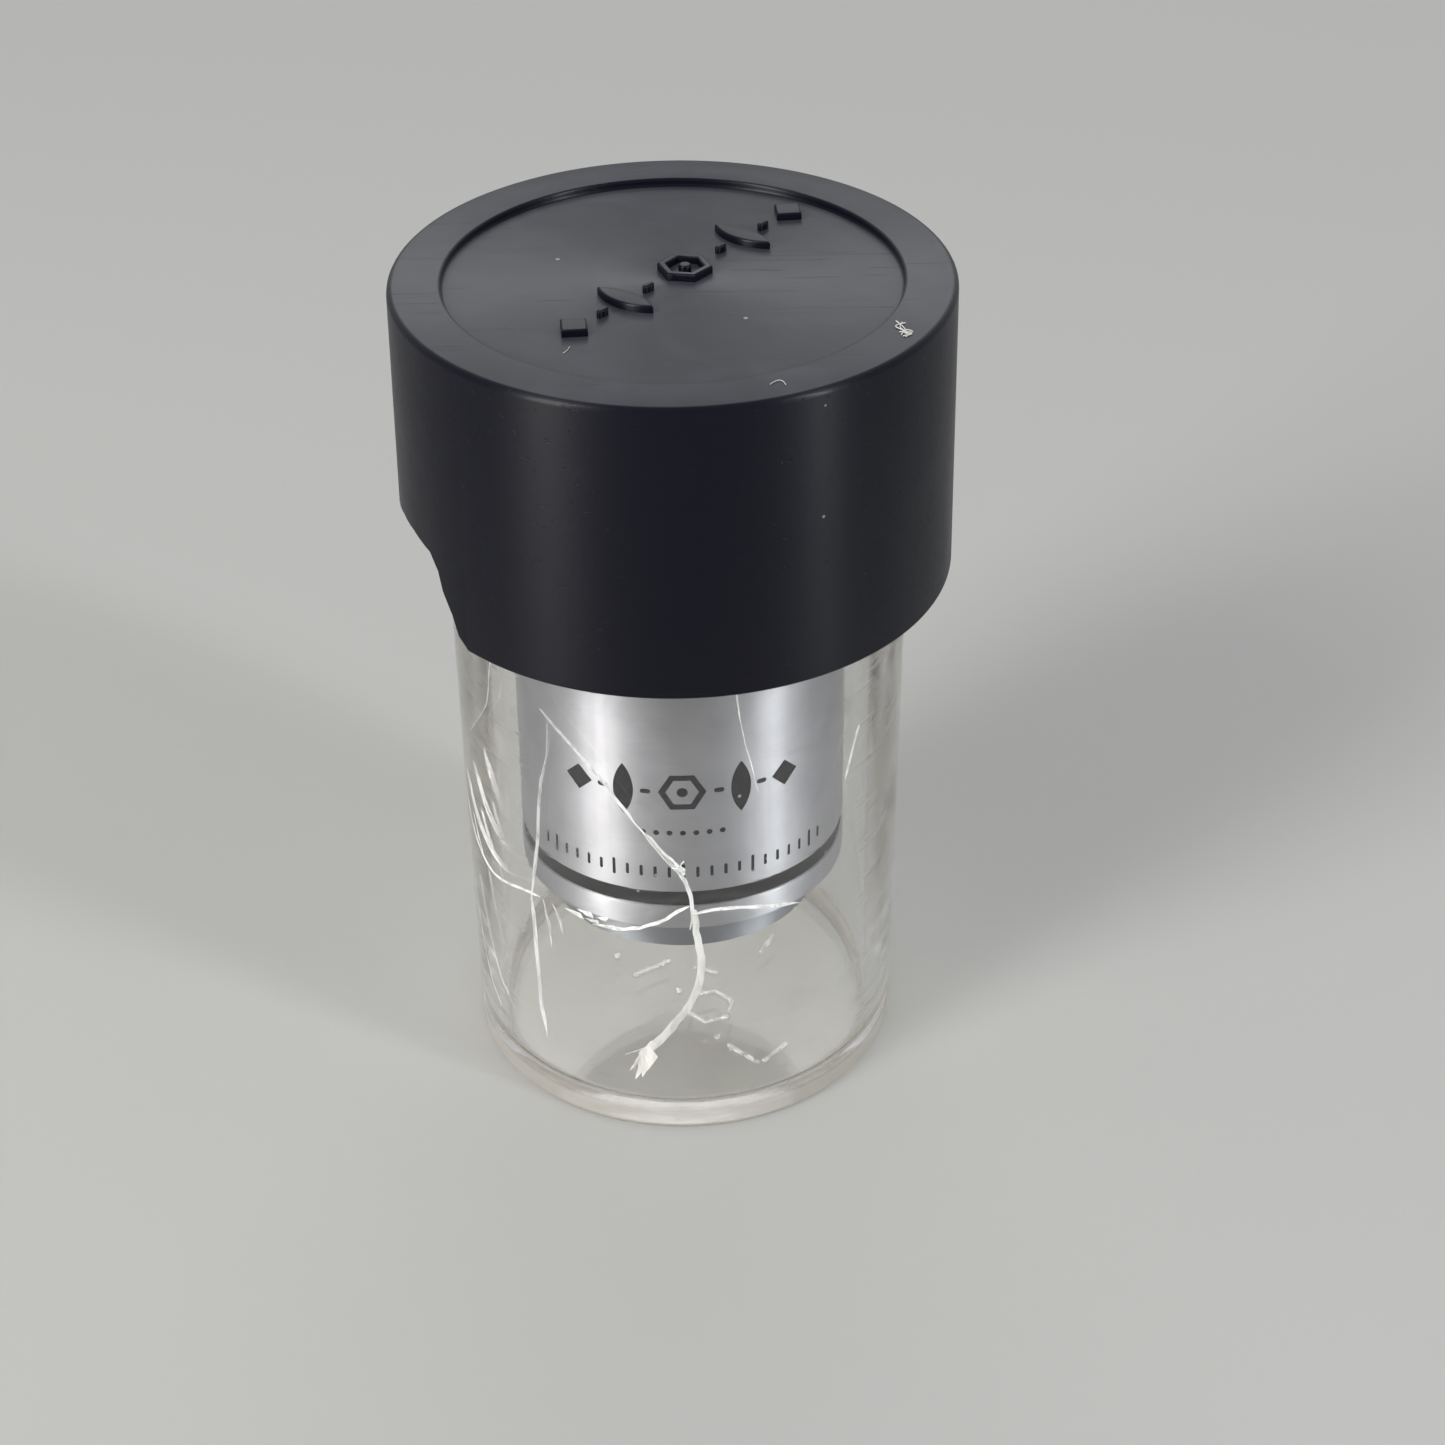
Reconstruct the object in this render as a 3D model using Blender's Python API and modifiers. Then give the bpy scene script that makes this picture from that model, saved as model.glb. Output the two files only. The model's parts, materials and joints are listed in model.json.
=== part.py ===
"""A screw-cap storage case with a microscope objective hanging from its cap.

Everything is turned about the +Z axis. Metres, with the origin on the floor under the jar's centre.
The front of the case is -Y. Angles are in degrees, counted from +X towards +Y.
"""

import math
from collections import namedtuple

import bmesh
import bpy
from mathutils import Matrix

# Clearances
GAP = 0.0003  # between pieces that touch
THREAD_CREST_GAP = 0.0004  # from a thread's crest to the wall that faces it
THREAD_FLANK_GAP = 0.0003  # between the flanks that bear on each other
SHANK_PLAY = 0.0004  # the lens thread's shank inside the socket
GRUB_HOLE_PLAY = 0.0003

# Jar
JAR_HEIGHT = 0.0603
LENS_CLEARANCE = 0.00259  # from the lens barrel to the jar's mouth, all round
JAR_DRAFT = 0.0005  # the base is this much narrower than the mouth
JAR_WALL = 0.0014
JAR_FLOOR = 0.0016
JAR_FOOT_ROUND = 0.0005
JAR_HEEL_ROUND = 0.0012  # inside, between the floor and the wall

# Case thread, right-handed, moulded on the jar and inside the cap
THREAD_PITCH = 0.003
THREAD_TURNS = 1.5
THREAD_HEIGHT = 0.0011
THREAD_ROOT = 0.0014
THREAD_CREST = 0.0007
THREAD_ABOVE_RIM = 0.0022  # from the cap's rim to the middle of the jar thread's lower end
THREAD_START_ANGLE = 170
THREAD_LEAD_IN = 12  # how far the cap's thread starts behind the jar's
THREAD_SINK = 0.0003  # how deep a ridge is buried in its wall

# Cap
CAP_HEIGHT = 0.02206
CAP_WALL = 0.00125
CAP_DRAFT = 0.00028  # the rim is this much wider than the top
CAP_ROOF = 0.00185
CAP_EDGE_ROUND = 0.0005
CAP_RIM_ROUND = 0.00025
RECESS_DEPTH = 0.0007
RECESS_BORDER = 0.0037  # width of the raised border round the recess
SOCKET_DEPTH = 0.0052
SOCKET_WALL = 0.0032
LINER_THICKNESS = 0.0007
LINER_PLAY = 0.0006  # round the cap's socket

# Broken corner of the cap's skirt: (distance along the wall, height above the rim), from front to back
CHIP_ANGLE = 198
CHIP_OUTLINE_MM = (
    (8.5, -1.0), (8.3, 0.3), (7.5, 0.9), (6.9, 2.3), (5.9, 3.7), (5.4, 5.1), (4.4, 6.1), (1.7, 6.4),
    (-0.9, 6.3), (-3.9, 5.6), (-5.6, 4.9), (-7.4, 3.9), (-8.5, 2.5), (-9.7, 1.3), (-10.4, -1.0),
)
CHIP_REACH = 0.006  # cut this deep from the cap's outside

# Lens, outside
WASHER_THICKNESS = 0.0005
MOUNT_THREAD_RADIUS = 0.01016  # 20.32 mm across, 36 turns to the inch
SHANK_LENGTH = 0.0049
FLANGE_HEIGHT = 0.0048
MOUNT_SPIGOT = 0.0027
MOUNT_WALL = 0.00176
SHOULDER_WIDTH = 0.00277  # from the thread out to the barrel's outside
BARREL_LENGTH = 0.0331
BARREL_WALL = 0.00168
BARREL_BEVEL = 0.00025
BAND_OFFSET = 0.0022  # from the barrel's lower edge to the painted groove
BAND_WIDTH = 0.00135
BAND_DEPTH = 0.0002
NOSE_PROJECTION = 0.0035
NOSE_STEP = 0.00015
NOSE_SPIGOT = 0.0039
NOSE_FLOOR = 0.0016
NOSE_MOUTH_RADIUS = 0.0068
NOSE_APERTURE_RADIUS = 0.0052
NOSE_BEVEL = 0.0003

# Lens, inside
SLEEVE_WALL = 0.002
SPACER_LENGTH = 0.0138
SPACER_WALL = 0.0014
STOP_THICKNESS = 0.0006
STOP_APERTURE_RADIUS = 0.0032
LOCK_RING_HEIGHT = 0.002
LOCK_RING_WALL = 0.0018
CELL_SEAT = 0.0012  # height of the ledge under the glass
CELL_LEDGE = 0.001  # how far that ledge reaches under the glass
CELL_LIP = 0.0003
RING_HEIGHT = 0.0009
GLARE_LEDGE = 0.0008
GLARE_LEDGE_HEIGHT = 0.0012
GLARE_STOP_THICKNESS = 0.0006
GLARE_APERTURE_RADIUS = 0.0055
GRUB_COUNT = 3
GRUB_RADIUS = 0.001
GRUB_LENGTH = 0.0013
GRUB_BELOW_BARREL_TOP = 0.0042
HEX_RADIUS = 0.00052
HEX_DEPTH = 0.0007
SLOT_WIDTH = 0.001
SLOT_DEPTH = 0.0004

# The glass: radius, radius of the outer curve, radius of the cemented curve, and the thickness of each edge
Doublet = namedtuple("Doublet", "radius outer_curve cement_curve crown_edge flint_edge")
FRONT_DOUBLET = Doublet(0.0046, 0.020, 0.009, 0.001, 0.002)
REAR_DOUBLET = Doublet(0.0060, 0.025, 0.013, 0.001, 0.0023)

CASE_SEGMENTS = 60
BARREL_SEGMENTS = 48
OPTIC_SEGMENTS = 24
SCREW_SEGMENTS = 16
ROUND_STEPS = 3
GLASS_STEPS = 4
WELD = 1e-6
SMOOTH_BELOW = math.radians(30)

# Radii that follow from the fits, from the lens's thread outwards
BARREL_RADIUS = MOUNT_THREAD_RADIUS + SHOULDER_WIDTH
SOCKET_RADIUS = MOUNT_THREAD_RADIUS + SOCKET_WALL
JAR_BORE_RADIUS = BARREL_RADIUS + LENS_CLEARANCE
JAR_MOUTH_RADIUS = JAR_BORE_RADIUS + JAR_WALL
CAP_BORE_RADIUS = JAR_MOUTH_RADIUS + THREAD_HEIGHT + THREAD_CREST_GAP
CAP_TOP_RADIUS = CAP_BORE_RADIUS + CAP_WALL
CAP_RIM_RADIUS = CAP_TOP_RADIUS + CAP_DRAFT

# Radii that follow from the fits, from the barrel inwards
SHANK_RADIUS = MOUNT_THREAD_RADIUS - SHANK_PLAY
MOUNT_BORE_RADIUS = SHANK_RADIUS - MOUNT_WALL
BARREL_BORE_RADIUS = BARREL_RADIUS - BARREL_WALL
SPIGOT_RADIUS = BARREL_BORE_RADIUS - GAP
STACK_BORE_RADIUS = SPIGOT_RADIUS - SLEEVE_WALL
STACK_RADIUS = STACK_BORE_RADIUS - GAP

# Heights, from the jar's mouth up through the cap
LINER_Z = JAR_HEIGHT + GAP
ROOF_Z = LINER_Z + LINER_THICKNESS + GAP
RECESS_Z = ROOF_Z + CAP_ROOF
CAP_TOP_Z = RECESS_Z + RECESS_DEPTH
CAP_RIM_Z = CAP_TOP_Z - CAP_HEIGHT
SOCKET_MOUTH_Z = ROOF_Z - SOCKET_DEPTH
THREAD_START_Z = CAP_RIM_Z + THREAD_ABOVE_RIM

# Heights, from the socket down the outside of the lens
WASHER_Z = SOCKET_MOUTH_Z - GAP - WASHER_THICKNESS
SHOULDER_Z = WASHER_Z - GAP
FLANGE_Z = SHOULDER_Z - FLANGE_HEIGHT
BARREL_TOP_Z = FLANGE_Z - GAP
BARREL_Z = BARREL_TOP_Z - BARREL_LENGTH
NOSE_Z = BARREL_Z - NOSE_PROJECTION
NOSE_TOP_Z = BARREL_Z + NOSE_SPIGOT
SLEEVE_Z = NOSE_TOP_Z + GAP
SLEEVE_TOP_Z = FLANGE_Z - MOUNT_SPIGOT - GAP


def clear_scene():
    for obj in list(bpy.data.objects):
        bpy.data.objects.remove(obj, do_unlink=True)


def new_collection(name):
    collection = bpy.data.collections.new(name)
    bpy.context.scene.collection.children.link(collection)
    return collection


def new_material(name, colour, roughness, metallic=0.0, alpha=1.0):
    material = bpy.data.materials.new(name)
    material.use_nodes = True
    shader = material.node_tree.nodes["Principled BSDF"]
    shader.inputs["Base Color"].default_value = (*colour, 1.0)
    shader.inputs["Roughness"].default_value = roughness
    shader.inputs["Metallic"].default_value = metallic
    shader.inputs["Alpha"].default_value = alpha
    return material


def new_object(name, mesh, collection):
    obj = bpy.data.objects.new(name, mesh)
    collection.objects.link(obj)
    return obj


def arc(centre_r, centre_z, radius, start, end, steps=ROUND_STEPS):
    """Points (r, z) on an arc about a centre, from one angle to another."""
    points = []
    for step in range(steps + 1):
        angle = math.radians(start + (end - start) * step / steps)
        points.append((centre_r + radius * math.cos(angle), centre_z + radius * math.sin(angle)))
    return points


def turned(name, profile, segments, collection, ring=False):
    """A profile of (r, z) points, down its outer side, turned about Z. A ring's profile closes on itself."""
    mesh = bpy.data.meshes.new(name)
    edges = [(index, index + 1) for index in range(len(profile) - 1)]
    if ring:
        edges.append((len(profile) - 1, 0))
    mesh.from_pydata([(r, 0.0, z) for r, z in profile], edges, [])
    obj = new_object(name, mesh, collection)
    screw = obj.modifiers.new("Turn", "SCREW")
    screw.steps = segments
    screw.render_steps = segments
    screw.use_merge_vertices = True
    screw.merge_threshold = WELD
    return obj


def tube(name, inner, outer, bottom, top, segments, collection):
    profile = [(inner, top), (outer, top), (outer, bottom), (inner, bottom)]
    return turned(name, profile, segments, collection, ring=True)


def helper(obj):
    obj.hide_render = True
    obj.display_type = "WIRE"
    return obj


def combine(obj, other, operation):
    boolean = obj.modifiers.new(other.name, "BOOLEAN")
    boolean.operation = operation
    boolean.solver = "EXACT"
    boolean.object = other


def settle(obj, material):
    """Makes the modifiers' result the object's own mesh, shaded smooth up to its edges."""
    graph = bpy.context.evaluated_depsgraph_get()
    mesh = bpy.data.meshes.new_from_object(obj.evaluated_get(graph))
    mesh.name = obj.name
    obj.modifiers.clear()
    obj.data = mesh
    mesh.shade_smooth()
    mesh.set_sharp_from_angle(angle=SMOOTH_BELOW)
    mesh.materials.clear()
    mesh.materials.append(material)


def thread_ridge(name, section, start_angle, start_z, helpers):
    """A closed section of (r, z) points swept along the case thread's helix, with its ends filled."""
    bm = bmesh.new()
    corners = [bm.verts.new((r, 0.0, start_z + z)) for r, z in section]
    loop = [bm.edges.new((corners[i - 1], corners[i])) for i in range(len(corners))]
    steps = round(THREAD_TURNS * CASE_SEGMENTS)
    bmesh.ops.spin(
        bm, geom=corners + loop, cent=(0, 0, 0), axis=(0, 0, 1), steps=steps,
        dvec=(0, 0, THREAD_PITCH * THREAD_TURNS / steps), angle=math.tau * THREAD_TURNS,
    )
    bmesh.ops.rotate(bm, verts=bm.verts, cent=(0, 0, 0), matrix=Matrix.Rotation(math.radians(start_angle), 3, "Z"))
    bmesh.ops.holes_fill(bm, edges=bm.edges)
    bmesh.ops.recalc_face_normals(bm, faces=bm.faces)
    mesh = bpy.data.meshes.new(name)
    bm.to_mesh(mesh)
    bm.free()
    return helper(new_object(name, mesh, helpers))


def radial_cylinder(name, radius, start, length, angle, z, segments, collection):
    """A cylinder that points away from the axis, from a radius outwards."""
    bm = bmesh.new()
    bmesh.ops.create_cone(bm, cap_ends=True, segments=segments, radius1=radius, radius2=radius, depth=length)
    bmesh.ops.translate(bm, verts=bm.verts, vec=(0, 0, start + length / 2))
    bmesh.ops.rotate(bm, verts=bm.verts, cent=(0, 0, 0), matrix=Matrix.Rotation(math.pi / 2, 3, "Y"))
    mesh = bpy.data.meshes.new(name)
    bm.to_mesh(mesh)
    bm.free()
    obj = new_object(name, mesh, collection)
    obj.location.z = z
    obj.rotation_euler.z = math.radians(angle)
    return obj


def box(name, size, centre, collection):
    bm = bmesh.new()
    bmesh.ops.create_cube(bm, size=1)
    bmesh.ops.scale(bm, verts=bm.verts, vec=size)
    bmesh.ops.translate(bm, verts=bm.verts, vec=centre)
    mesh = bpy.data.meshes.new(name)
    bm.to_mesh(mesh)
    bm.free()
    return new_object(name, mesh, collection)


def make_jar(parts, helpers, clear_plastic):
    base_radius = JAR_MOUTH_RADIUS - JAR_DRAFT
    floor_radius = base_radius - JAR_WALL
    profile = [(0, JAR_FLOOR)]
    profile += arc(floor_radius - JAR_HEEL_ROUND, JAR_FLOOR + JAR_HEEL_ROUND, JAR_HEEL_ROUND, -90, 0)
    profile += [(JAR_BORE_RADIUS, JAR_HEIGHT), (JAR_MOUTH_RADIUS, JAR_HEIGHT)]
    profile += arc(base_radius - JAR_FOOT_ROUND, JAR_FOOT_ROUND, JAR_FOOT_ROUND, 0, -90)
    profile += [(0, 0)]
    jar = turned("case_jar", profile, CASE_SEGMENTS, parts)
    outside = JAR_MOUTH_RADIUS - JAR_DRAFT * (1 - THREAD_START_Z / JAR_HEIGHT)
    wall = outside - THREAD_SINK
    crest = JAR_MOUTH_RADIUS + THREAD_HEIGHT
    section = [
        (wall, THREAD_ROOT / 2), (crest, THREAD_CREST / 2), (crest, -THREAD_CREST / 2), (wall, -THREAD_ROOT / 2),
    ]
    ridge = thread_ridge("jar_thread_ridge", section, THREAD_START_ANGLE, THREAD_START_Z, helpers)
    combine(jar, ridge, "UNION")
    settle(jar, clear_plastic)


def make_cap(parts, helpers, black_plastic):
    recess_radius = CAP_TOP_RADIUS - RECESS_BORDER
    profile = [(0, RECESS_Z), (recess_radius, RECESS_Z), (recess_radius, CAP_TOP_Z)]
    profile += arc(CAP_TOP_RADIUS - CAP_EDGE_ROUND, CAP_TOP_Z - CAP_EDGE_ROUND, CAP_EDGE_ROUND, 90, 0)
    profile += arc(CAP_RIM_RADIUS - CAP_RIM_ROUND, CAP_RIM_Z + CAP_RIM_ROUND, CAP_RIM_ROUND, 0, -90)
    profile += [(CAP_BORE_RADIUS, CAP_RIM_Z), (CAP_BORE_RADIUS, ROOF_Z)]
    profile += [(SOCKET_RADIUS, ROOF_Z), (SOCKET_RADIUS, SOCKET_MOUTH_Z)]
    profile += [(MOUNT_THREAD_RADIUS, SOCKET_MOUTH_Z), (MOUNT_THREAD_RADIUS, ROOF_Z), (0, ROOF_Z)]
    cap = turned("case_cap", profile, CASE_SEGMENTS, parts)

    wall = CAP_BORE_RADIUS + THREAD_SINK
    crest = JAR_MOUTH_RADIUS + THREAD_CREST_GAP
    section = [
        (crest, THREAD_CREST / 2), (wall, THREAD_ROOT / 2), (wall, -THREAD_ROOT / 2), (crest, -THREAD_CREST / 2),
    ]
    # The cap's ridge bears on the underside of the jar's ridge.
    drop = (THREAD_CREST + THREAD_ROOT) / 2 + THREAD_FLANK_GAP
    start_z = THREAD_START_Z - drop + THREAD_PITCH * THREAD_LEAD_IN / 360
    start_angle = THREAD_START_ANGLE + THREAD_LEAD_IN
    ridge = thread_ridge("cap_thread_ridge", section, start_angle, start_z, helpers)
    combine(cap, ridge, "UNION")
    combine(cap, chip_cutter(helpers), "DIFFERENCE")
    settle(cap, black_plastic)


def chip_cutter(helpers):
    """The outline of the missing corner, on a plane that touches the skirt, pushed in through the wall."""
    bm = bmesh.new()
    face = bm.faces.new(
        [bm.verts.new((0, along / 1000, CAP_RIM_Z + up / 1000)) for along, up in CHIP_OUTLINE_MM]
    )
    pushed = bmesh.ops.extrude_face_region(bm, geom=[face])
    moved = [item for item in pushed["geom"] if isinstance(item, bmesh.types.BMVert)]
    bmesh.ops.translate(bm, verts=moved, vec=(CHIP_REACH + GAP, 0, 0))
    bmesh.ops.translate(bm, verts=bm.verts, vec=(CAP_RIM_RADIUS - CHIP_REACH, 0, 0))
    bmesh.ops.rotate(bm, verts=bm.verts, cent=(0, 0, 0), matrix=Matrix.Rotation(math.radians(CHIP_ANGLE), 3, "Z"))
    bmesh.ops.recalc_face_normals(bm, faces=bm.faces)
    mesh = bpy.data.meshes.new("chip_cutter")
    bm.to_mesh(mesh)
    bm.free()
    return helper(new_object("chip_cutter", mesh, helpers))


def make_seals(parts, rubber, fibre):
    liner = tube(
        "sealing_liner", SOCKET_RADIUS + LINER_PLAY, CAP_BORE_RADIUS - GAP,
        LINER_Z, LINER_Z + LINER_THICKNESS, BARREL_SEGMENTS, parts,
    )
    settle(liner, rubber)
    washer = tube(
        "seat_washer", MOUNT_THREAD_RADIUS + GAP, BARREL_RADIUS - GAP,
        WASHER_Z, WASHER_Z + WASHER_THICKNESS, BARREL_SEGMENTS, parts,
    )
    settle(washer, fibre)


def make_mount_ring(parts, steel):
    shank_top = SHOULDER_Z + SHANK_LENGTH
    spigot_z = FLANGE_Z - MOUNT_SPIGOT
    ledge_radius = MOUNT_BORE_RADIUS - GLARE_LEDGE
    ledge_z = spigot_z + GLARE_LEDGE_HEIGHT
    profile = [
        (MOUNT_BORE_RADIUS, shank_top), (SHANK_RADIUS, shank_top), (SHANK_RADIUS, SHOULDER_Z),
        (BARREL_RADIUS, SHOULDER_Z),
        (BARREL_RADIUS, FLANGE_Z), (SPIGOT_RADIUS, FLANGE_Z), (SPIGOT_RADIUS, spigot_z), (ledge_radius, spigot_z),
        (ledge_radius, ledge_z), (MOUNT_BORE_RADIUS, ledge_z),
    ]
    settle(turned("mount_ring", profile, BARREL_SEGMENTS, parts, ring=True), steel)
    return ledge_z


def make_glare_stop(parts, ledge_z, blackened):
    bottom = ledge_z + GAP
    stop = tube(
        "rear_glare_stop", GLARE_APERTURE_RADIUS, MOUNT_BORE_RADIUS - GAP,
        bottom, bottom + GLARE_STOP_THICKNESS, OPTIC_SEGMENTS, parts,
    )
    settle(stop, blackened)


def make_barrel(parts, helpers, satin_metal, screw_steel):
    band_z = BARREL_Z + BAND_OFFSET
    band_top = band_z + BAND_WIDTH
    groove = BARREL_RADIUS - BAND_DEPTH
    profile = [
        (BARREL_BORE_RADIUS, BARREL_TOP_Z), (BARREL_RADIUS - BARREL_BEVEL, BARREL_TOP_Z),
        (BARREL_RADIUS, BARREL_TOP_Z - BARREL_BEVEL), (BARREL_RADIUS, band_top), (groove, band_top),
        (groove, band_z), (BARREL_RADIUS, band_z), (BARREL_RADIUS, BARREL_Z + BARREL_BEVEL),
        (BARREL_RADIUS - BARREL_BEVEL, BARREL_Z), (BARREL_BORE_RADIUS, BARREL_Z),
    ]
    barrel = turned("outer_barrel", profile, BARREL_SEGMENTS, parts, ring=True)
    grub_z = BARREL_TOP_Z - GRUB_BELOW_BARREL_TOP
    for index in range(GRUB_COUNT):
        angle = 30 + 360 * index / GRUB_COUNT
        hole_start = BARREL_BORE_RADIUS - GAP
        hole = radial_cylinder(
            f"grub_hole_{index + 1}", GRUB_RADIUS + GRUB_HOLE_PLAY, hole_start, BARREL_WALL + 2 * GAP,
            angle, grub_z, SCREW_SEGMENTS, helpers,
        )
        combine(barrel, helper(hole), "DIFFERENCE")
        make_grub_screw(index + 1, angle, grub_z, parts, helpers, screw_steel)
    settle(barrel, satin_metal)


def make_grub_screw(number, angle, z, parts, helpers, screw_steel):
    start = SPIGOT_RADIUS + GAP
    screw = radial_cylinder(
        f"grub_screw_{number}", GRUB_RADIUS, start, GRUB_LENGTH, angle, z, SCREW_SEGMENTS, parts,
    )
    socket = radial_cylinder(
        f"hex_socket_{number}", HEX_RADIUS, start + GRUB_LENGTH - HEX_DEPTH, HEX_DEPTH + GAP, angle, z, 6, helpers,
    )
    combine(screw, helper(socket), "DIFFERENCE")
    settle(screw, screw_steel)


def make_nose_ring(parts, satin_metal):
    nose_radius = SPIGOT_RADIUS - NOSE_STEP
    floor_z = NOSE_Z + NOSE_FLOOR
    profile = [
        (STACK_BORE_RADIUS, NOSE_TOP_Z), (SPIGOT_RADIUS, NOSE_TOP_Z), (SPIGOT_RADIUS, BARREL_Z),
        (nose_radius, BARREL_Z - NOSE_STEP), (nose_radius, NOSE_Z + NOSE_BEVEL), (nose_radius - NOSE_BEVEL, NOSE_Z),
        (NOSE_MOUTH_RADIUS, NOSE_Z), (NOSE_APERTURE_RADIUS, floor_z), (STACK_BORE_RADIUS, floor_z),
    ]
    settle(turned("nose_ring", profile, BARREL_SEGMENTS, parts, ring=True), satin_metal)
    return floor_z + GAP


def sag(curve, radius):
    return curve - math.sqrt(curve**2 - radius**2)


def glass_surface(radius, curve, edge_z, direction):
    """Points from the axis out to the rim. The centre bulges along direction, +1 up or -1 down."""
    points = []
    for step in range(GLASS_STEPS + 1):
        r = radius * step / GLASS_STEPS
        points.append((r, edge_z + direction * (sag(curve, radius) - sag(curve, r))))
    return points


def make_group(prefix, doublet, bottom, parts, helpers, brass, crown_glass, flint_glass, blackened):
    """One cemented doublet in its cell, with its retaining ring. Gives the height of the cell's top."""
    radius = doublet.radius
    bore = radius + GAP
    ledge = radius - CELL_LEDGE
    seat_z = bottom + CELL_SEAT
    crown_z = seat_z + GAP
    cement_z = crown_z + doublet.crown_edge
    flint_z = cement_z + GAP
    flint_top = flint_z + doublet.flint_edge
    ring_z = flint_top + GAP
    top = ring_z + RING_HEIGHT + CELL_LIP

    profile = [
        (bore, top), (STACK_RADIUS, top), (STACK_RADIUS, bottom), (ledge, bottom), (ledge, seat_z), (bore, seat_z),
    ]
    settle(turned(f"{prefix}_cell", profile, OPTIC_SEGMENTS, parts, ring=True), brass)

    crown_top = glass_surface(radius, doublet.cement_curve, cement_z, 1)
    crown_under = glass_surface(radius, doublet.outer_curve, crown_z, -1)
    crown = turned(f"{prefix}_crown_lens", crown_top + crown_under[::-1], OPTIC_SEGMENTS, parts)
    settle(crown, crown_glass)

    flint_under = glass_surface(radius, doublet.cement_curve, flint_z, 1)
    flint_profile = [(0, flint_top), (radius, flint_top)] + flint_under[::-1]
    settle(turned(f"{prefix}_flint_lens", flint_profile, OPTIC_SEGMENTS, parts), flint_glass)

    ring = tube(f"{prefix}_retaining_ring", ledge, radius, ring_z, ring_z + RING_HEIGHT, OPTIC_SEGMENTS, parts)
    cut_spanner_slots(ring, radius, ring_z + RING_HEIGHT, helpers)
    settle(ring, blackened)
    return top


def cut_spanner_slots(ring, radius, top, helpers):
    size = (2 * radius + 2 * GAP, SLOT_WIDTH, 2 * SLOT_DEPTH)
    cutter = box(f"{ring.name}_slots", size, (0, 0, top), helpers)
    combine(ring, helper(cutter), "DIFFERENCE")


def make_stack(bottom, parts, helpers, brass, crown_glass, flint_glass, blackened):
    """Everything inside the barrel, from the front cell up to the ring that locks the stack."""
    glass = (brass, crown_glass, flint_glass, blackened)
    sleeve = tube("cell_sleeve", STACK_BORE_RADIUS, SPIGOT_RADIUS, SLEEVE_Z, SLEEVE_TOP_Z, BARREL_SEGMENTS, parts)
    settle(sleeve, brass)

    z = make_group("front", FRONT_DOUBLET, bottom, parts, helpers, *glass) + GAP
    spacer_bore = STACK_RADIUS - SPACER_WALL
    spacer = tube("spacer_tube", spacer_bore, STACK_RADIUS, z, z + SPACER_LENGTH, OPTIC_SEGMENTS, parts)
    settle(spacer, blackened)

    z += SPACER_LENGTH + GAP
    stop = tube("aperture_stop", STOP_APERTURE_RADIUS, STACK_RADIUS, z, z + STOP_THICKNESS, OPTIC_SEGMENTS, parts)
    settle(stop, blackened)

    z = make_group("rear", REAR_DOUBLET, z + STOP_THICKNESS + GAP, parts, helpers, *glass) + GAP
    ring_bore = STACK_RADIUS - LOCK_RING_WALL
    lock = tube("stack_lock_ring", ring_bore, STACK_RADIUS, z, z + LOCK_RING_HEIGHT, OPTIC_SEGMENTS, parts)
    cut_spanner_slots(lock, STACK_RADIUS, z + LOCK_RING_HEIGHT, helpers)
    settle(lock, brass)


def main():
    clear_scene()
    parts = new_collection("cased_objective")
    helpers = new_collection("cutters")

    clear_plastic = new_material("clear_plastic", (0.93, 0.92, 0.88), 0.08, alpha=0.35)
    black_plastic = new_material("black_plastic", (0.018, 0.018, 0.023), 0.28)
    satin_metal = new_material("satin_metal", (0.78, 0.77, 0.76), 0.3, metallic=1.0)
    steel = new_material("bright_steel", (0.66, 0.66, 0.67), 0.25, metallic=1.0)
    screw_steel = new_material("dark_steel", (0.12, 0.12, 0.13), 0.4, metallic=1.0)
    brass = new_material("brass", (0.72, 0.55, 0.28), 0.32, metallic=1.0)
    blackened = new_material("blackened_metal", (0.02, 0.02, 0.02), 0.7, metallic=0.3)
    crown_glass = new_material("crown_glass", (0.92, 0.95, 0.95), 0.02, alpha=0.35)
    flint_glass = new_material("flint_glass", (0.94, 0.94, 0.88), 0.02, alpha=0.35)
    rubber = new_material("liner_foam", (0.82, 0.81, 0.78), 0.8)
    fibre = new_material("fibre", (0.32, 0.08, 0.05), 0.75)

    make_jar(parts, helpers, clear_plastic)
    make_cap(parts, helpers, black_plastic)
    make_seals(parts, rubber, fibre)
    ledge_z = make_mount_ring(parts, steel)
    make_glare_stop(parts, ledge_z, blackened)
    make_barrel(parts, helpers, satin_metal, screw_steel)
    stack_z = make_nose_ring(parts, satin_metal)
    make_stack(stack_z, parts, helpers, brass, crown_glass, flint_glass, blackened)


main()
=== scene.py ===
# %% [markdown]
# # A cased microscope objective
#
# A small clear jar with a black screw cap. Inside, a microscope objective hangs from the cap by its
# own thread, so it never touches the jar. The jar is old: its wall is cracked, and a corner of the
# cap's skirt has broken away.
#
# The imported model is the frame. Its pieces have the right size and the right joints, but they are
# faceted and plain, so the ones that can be seen get a finer piece built in their place, and the rest
# get a better finish.

# %% Load the frame
import json
import math

import bpy
from mathutils import Euler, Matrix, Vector, noise


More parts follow.
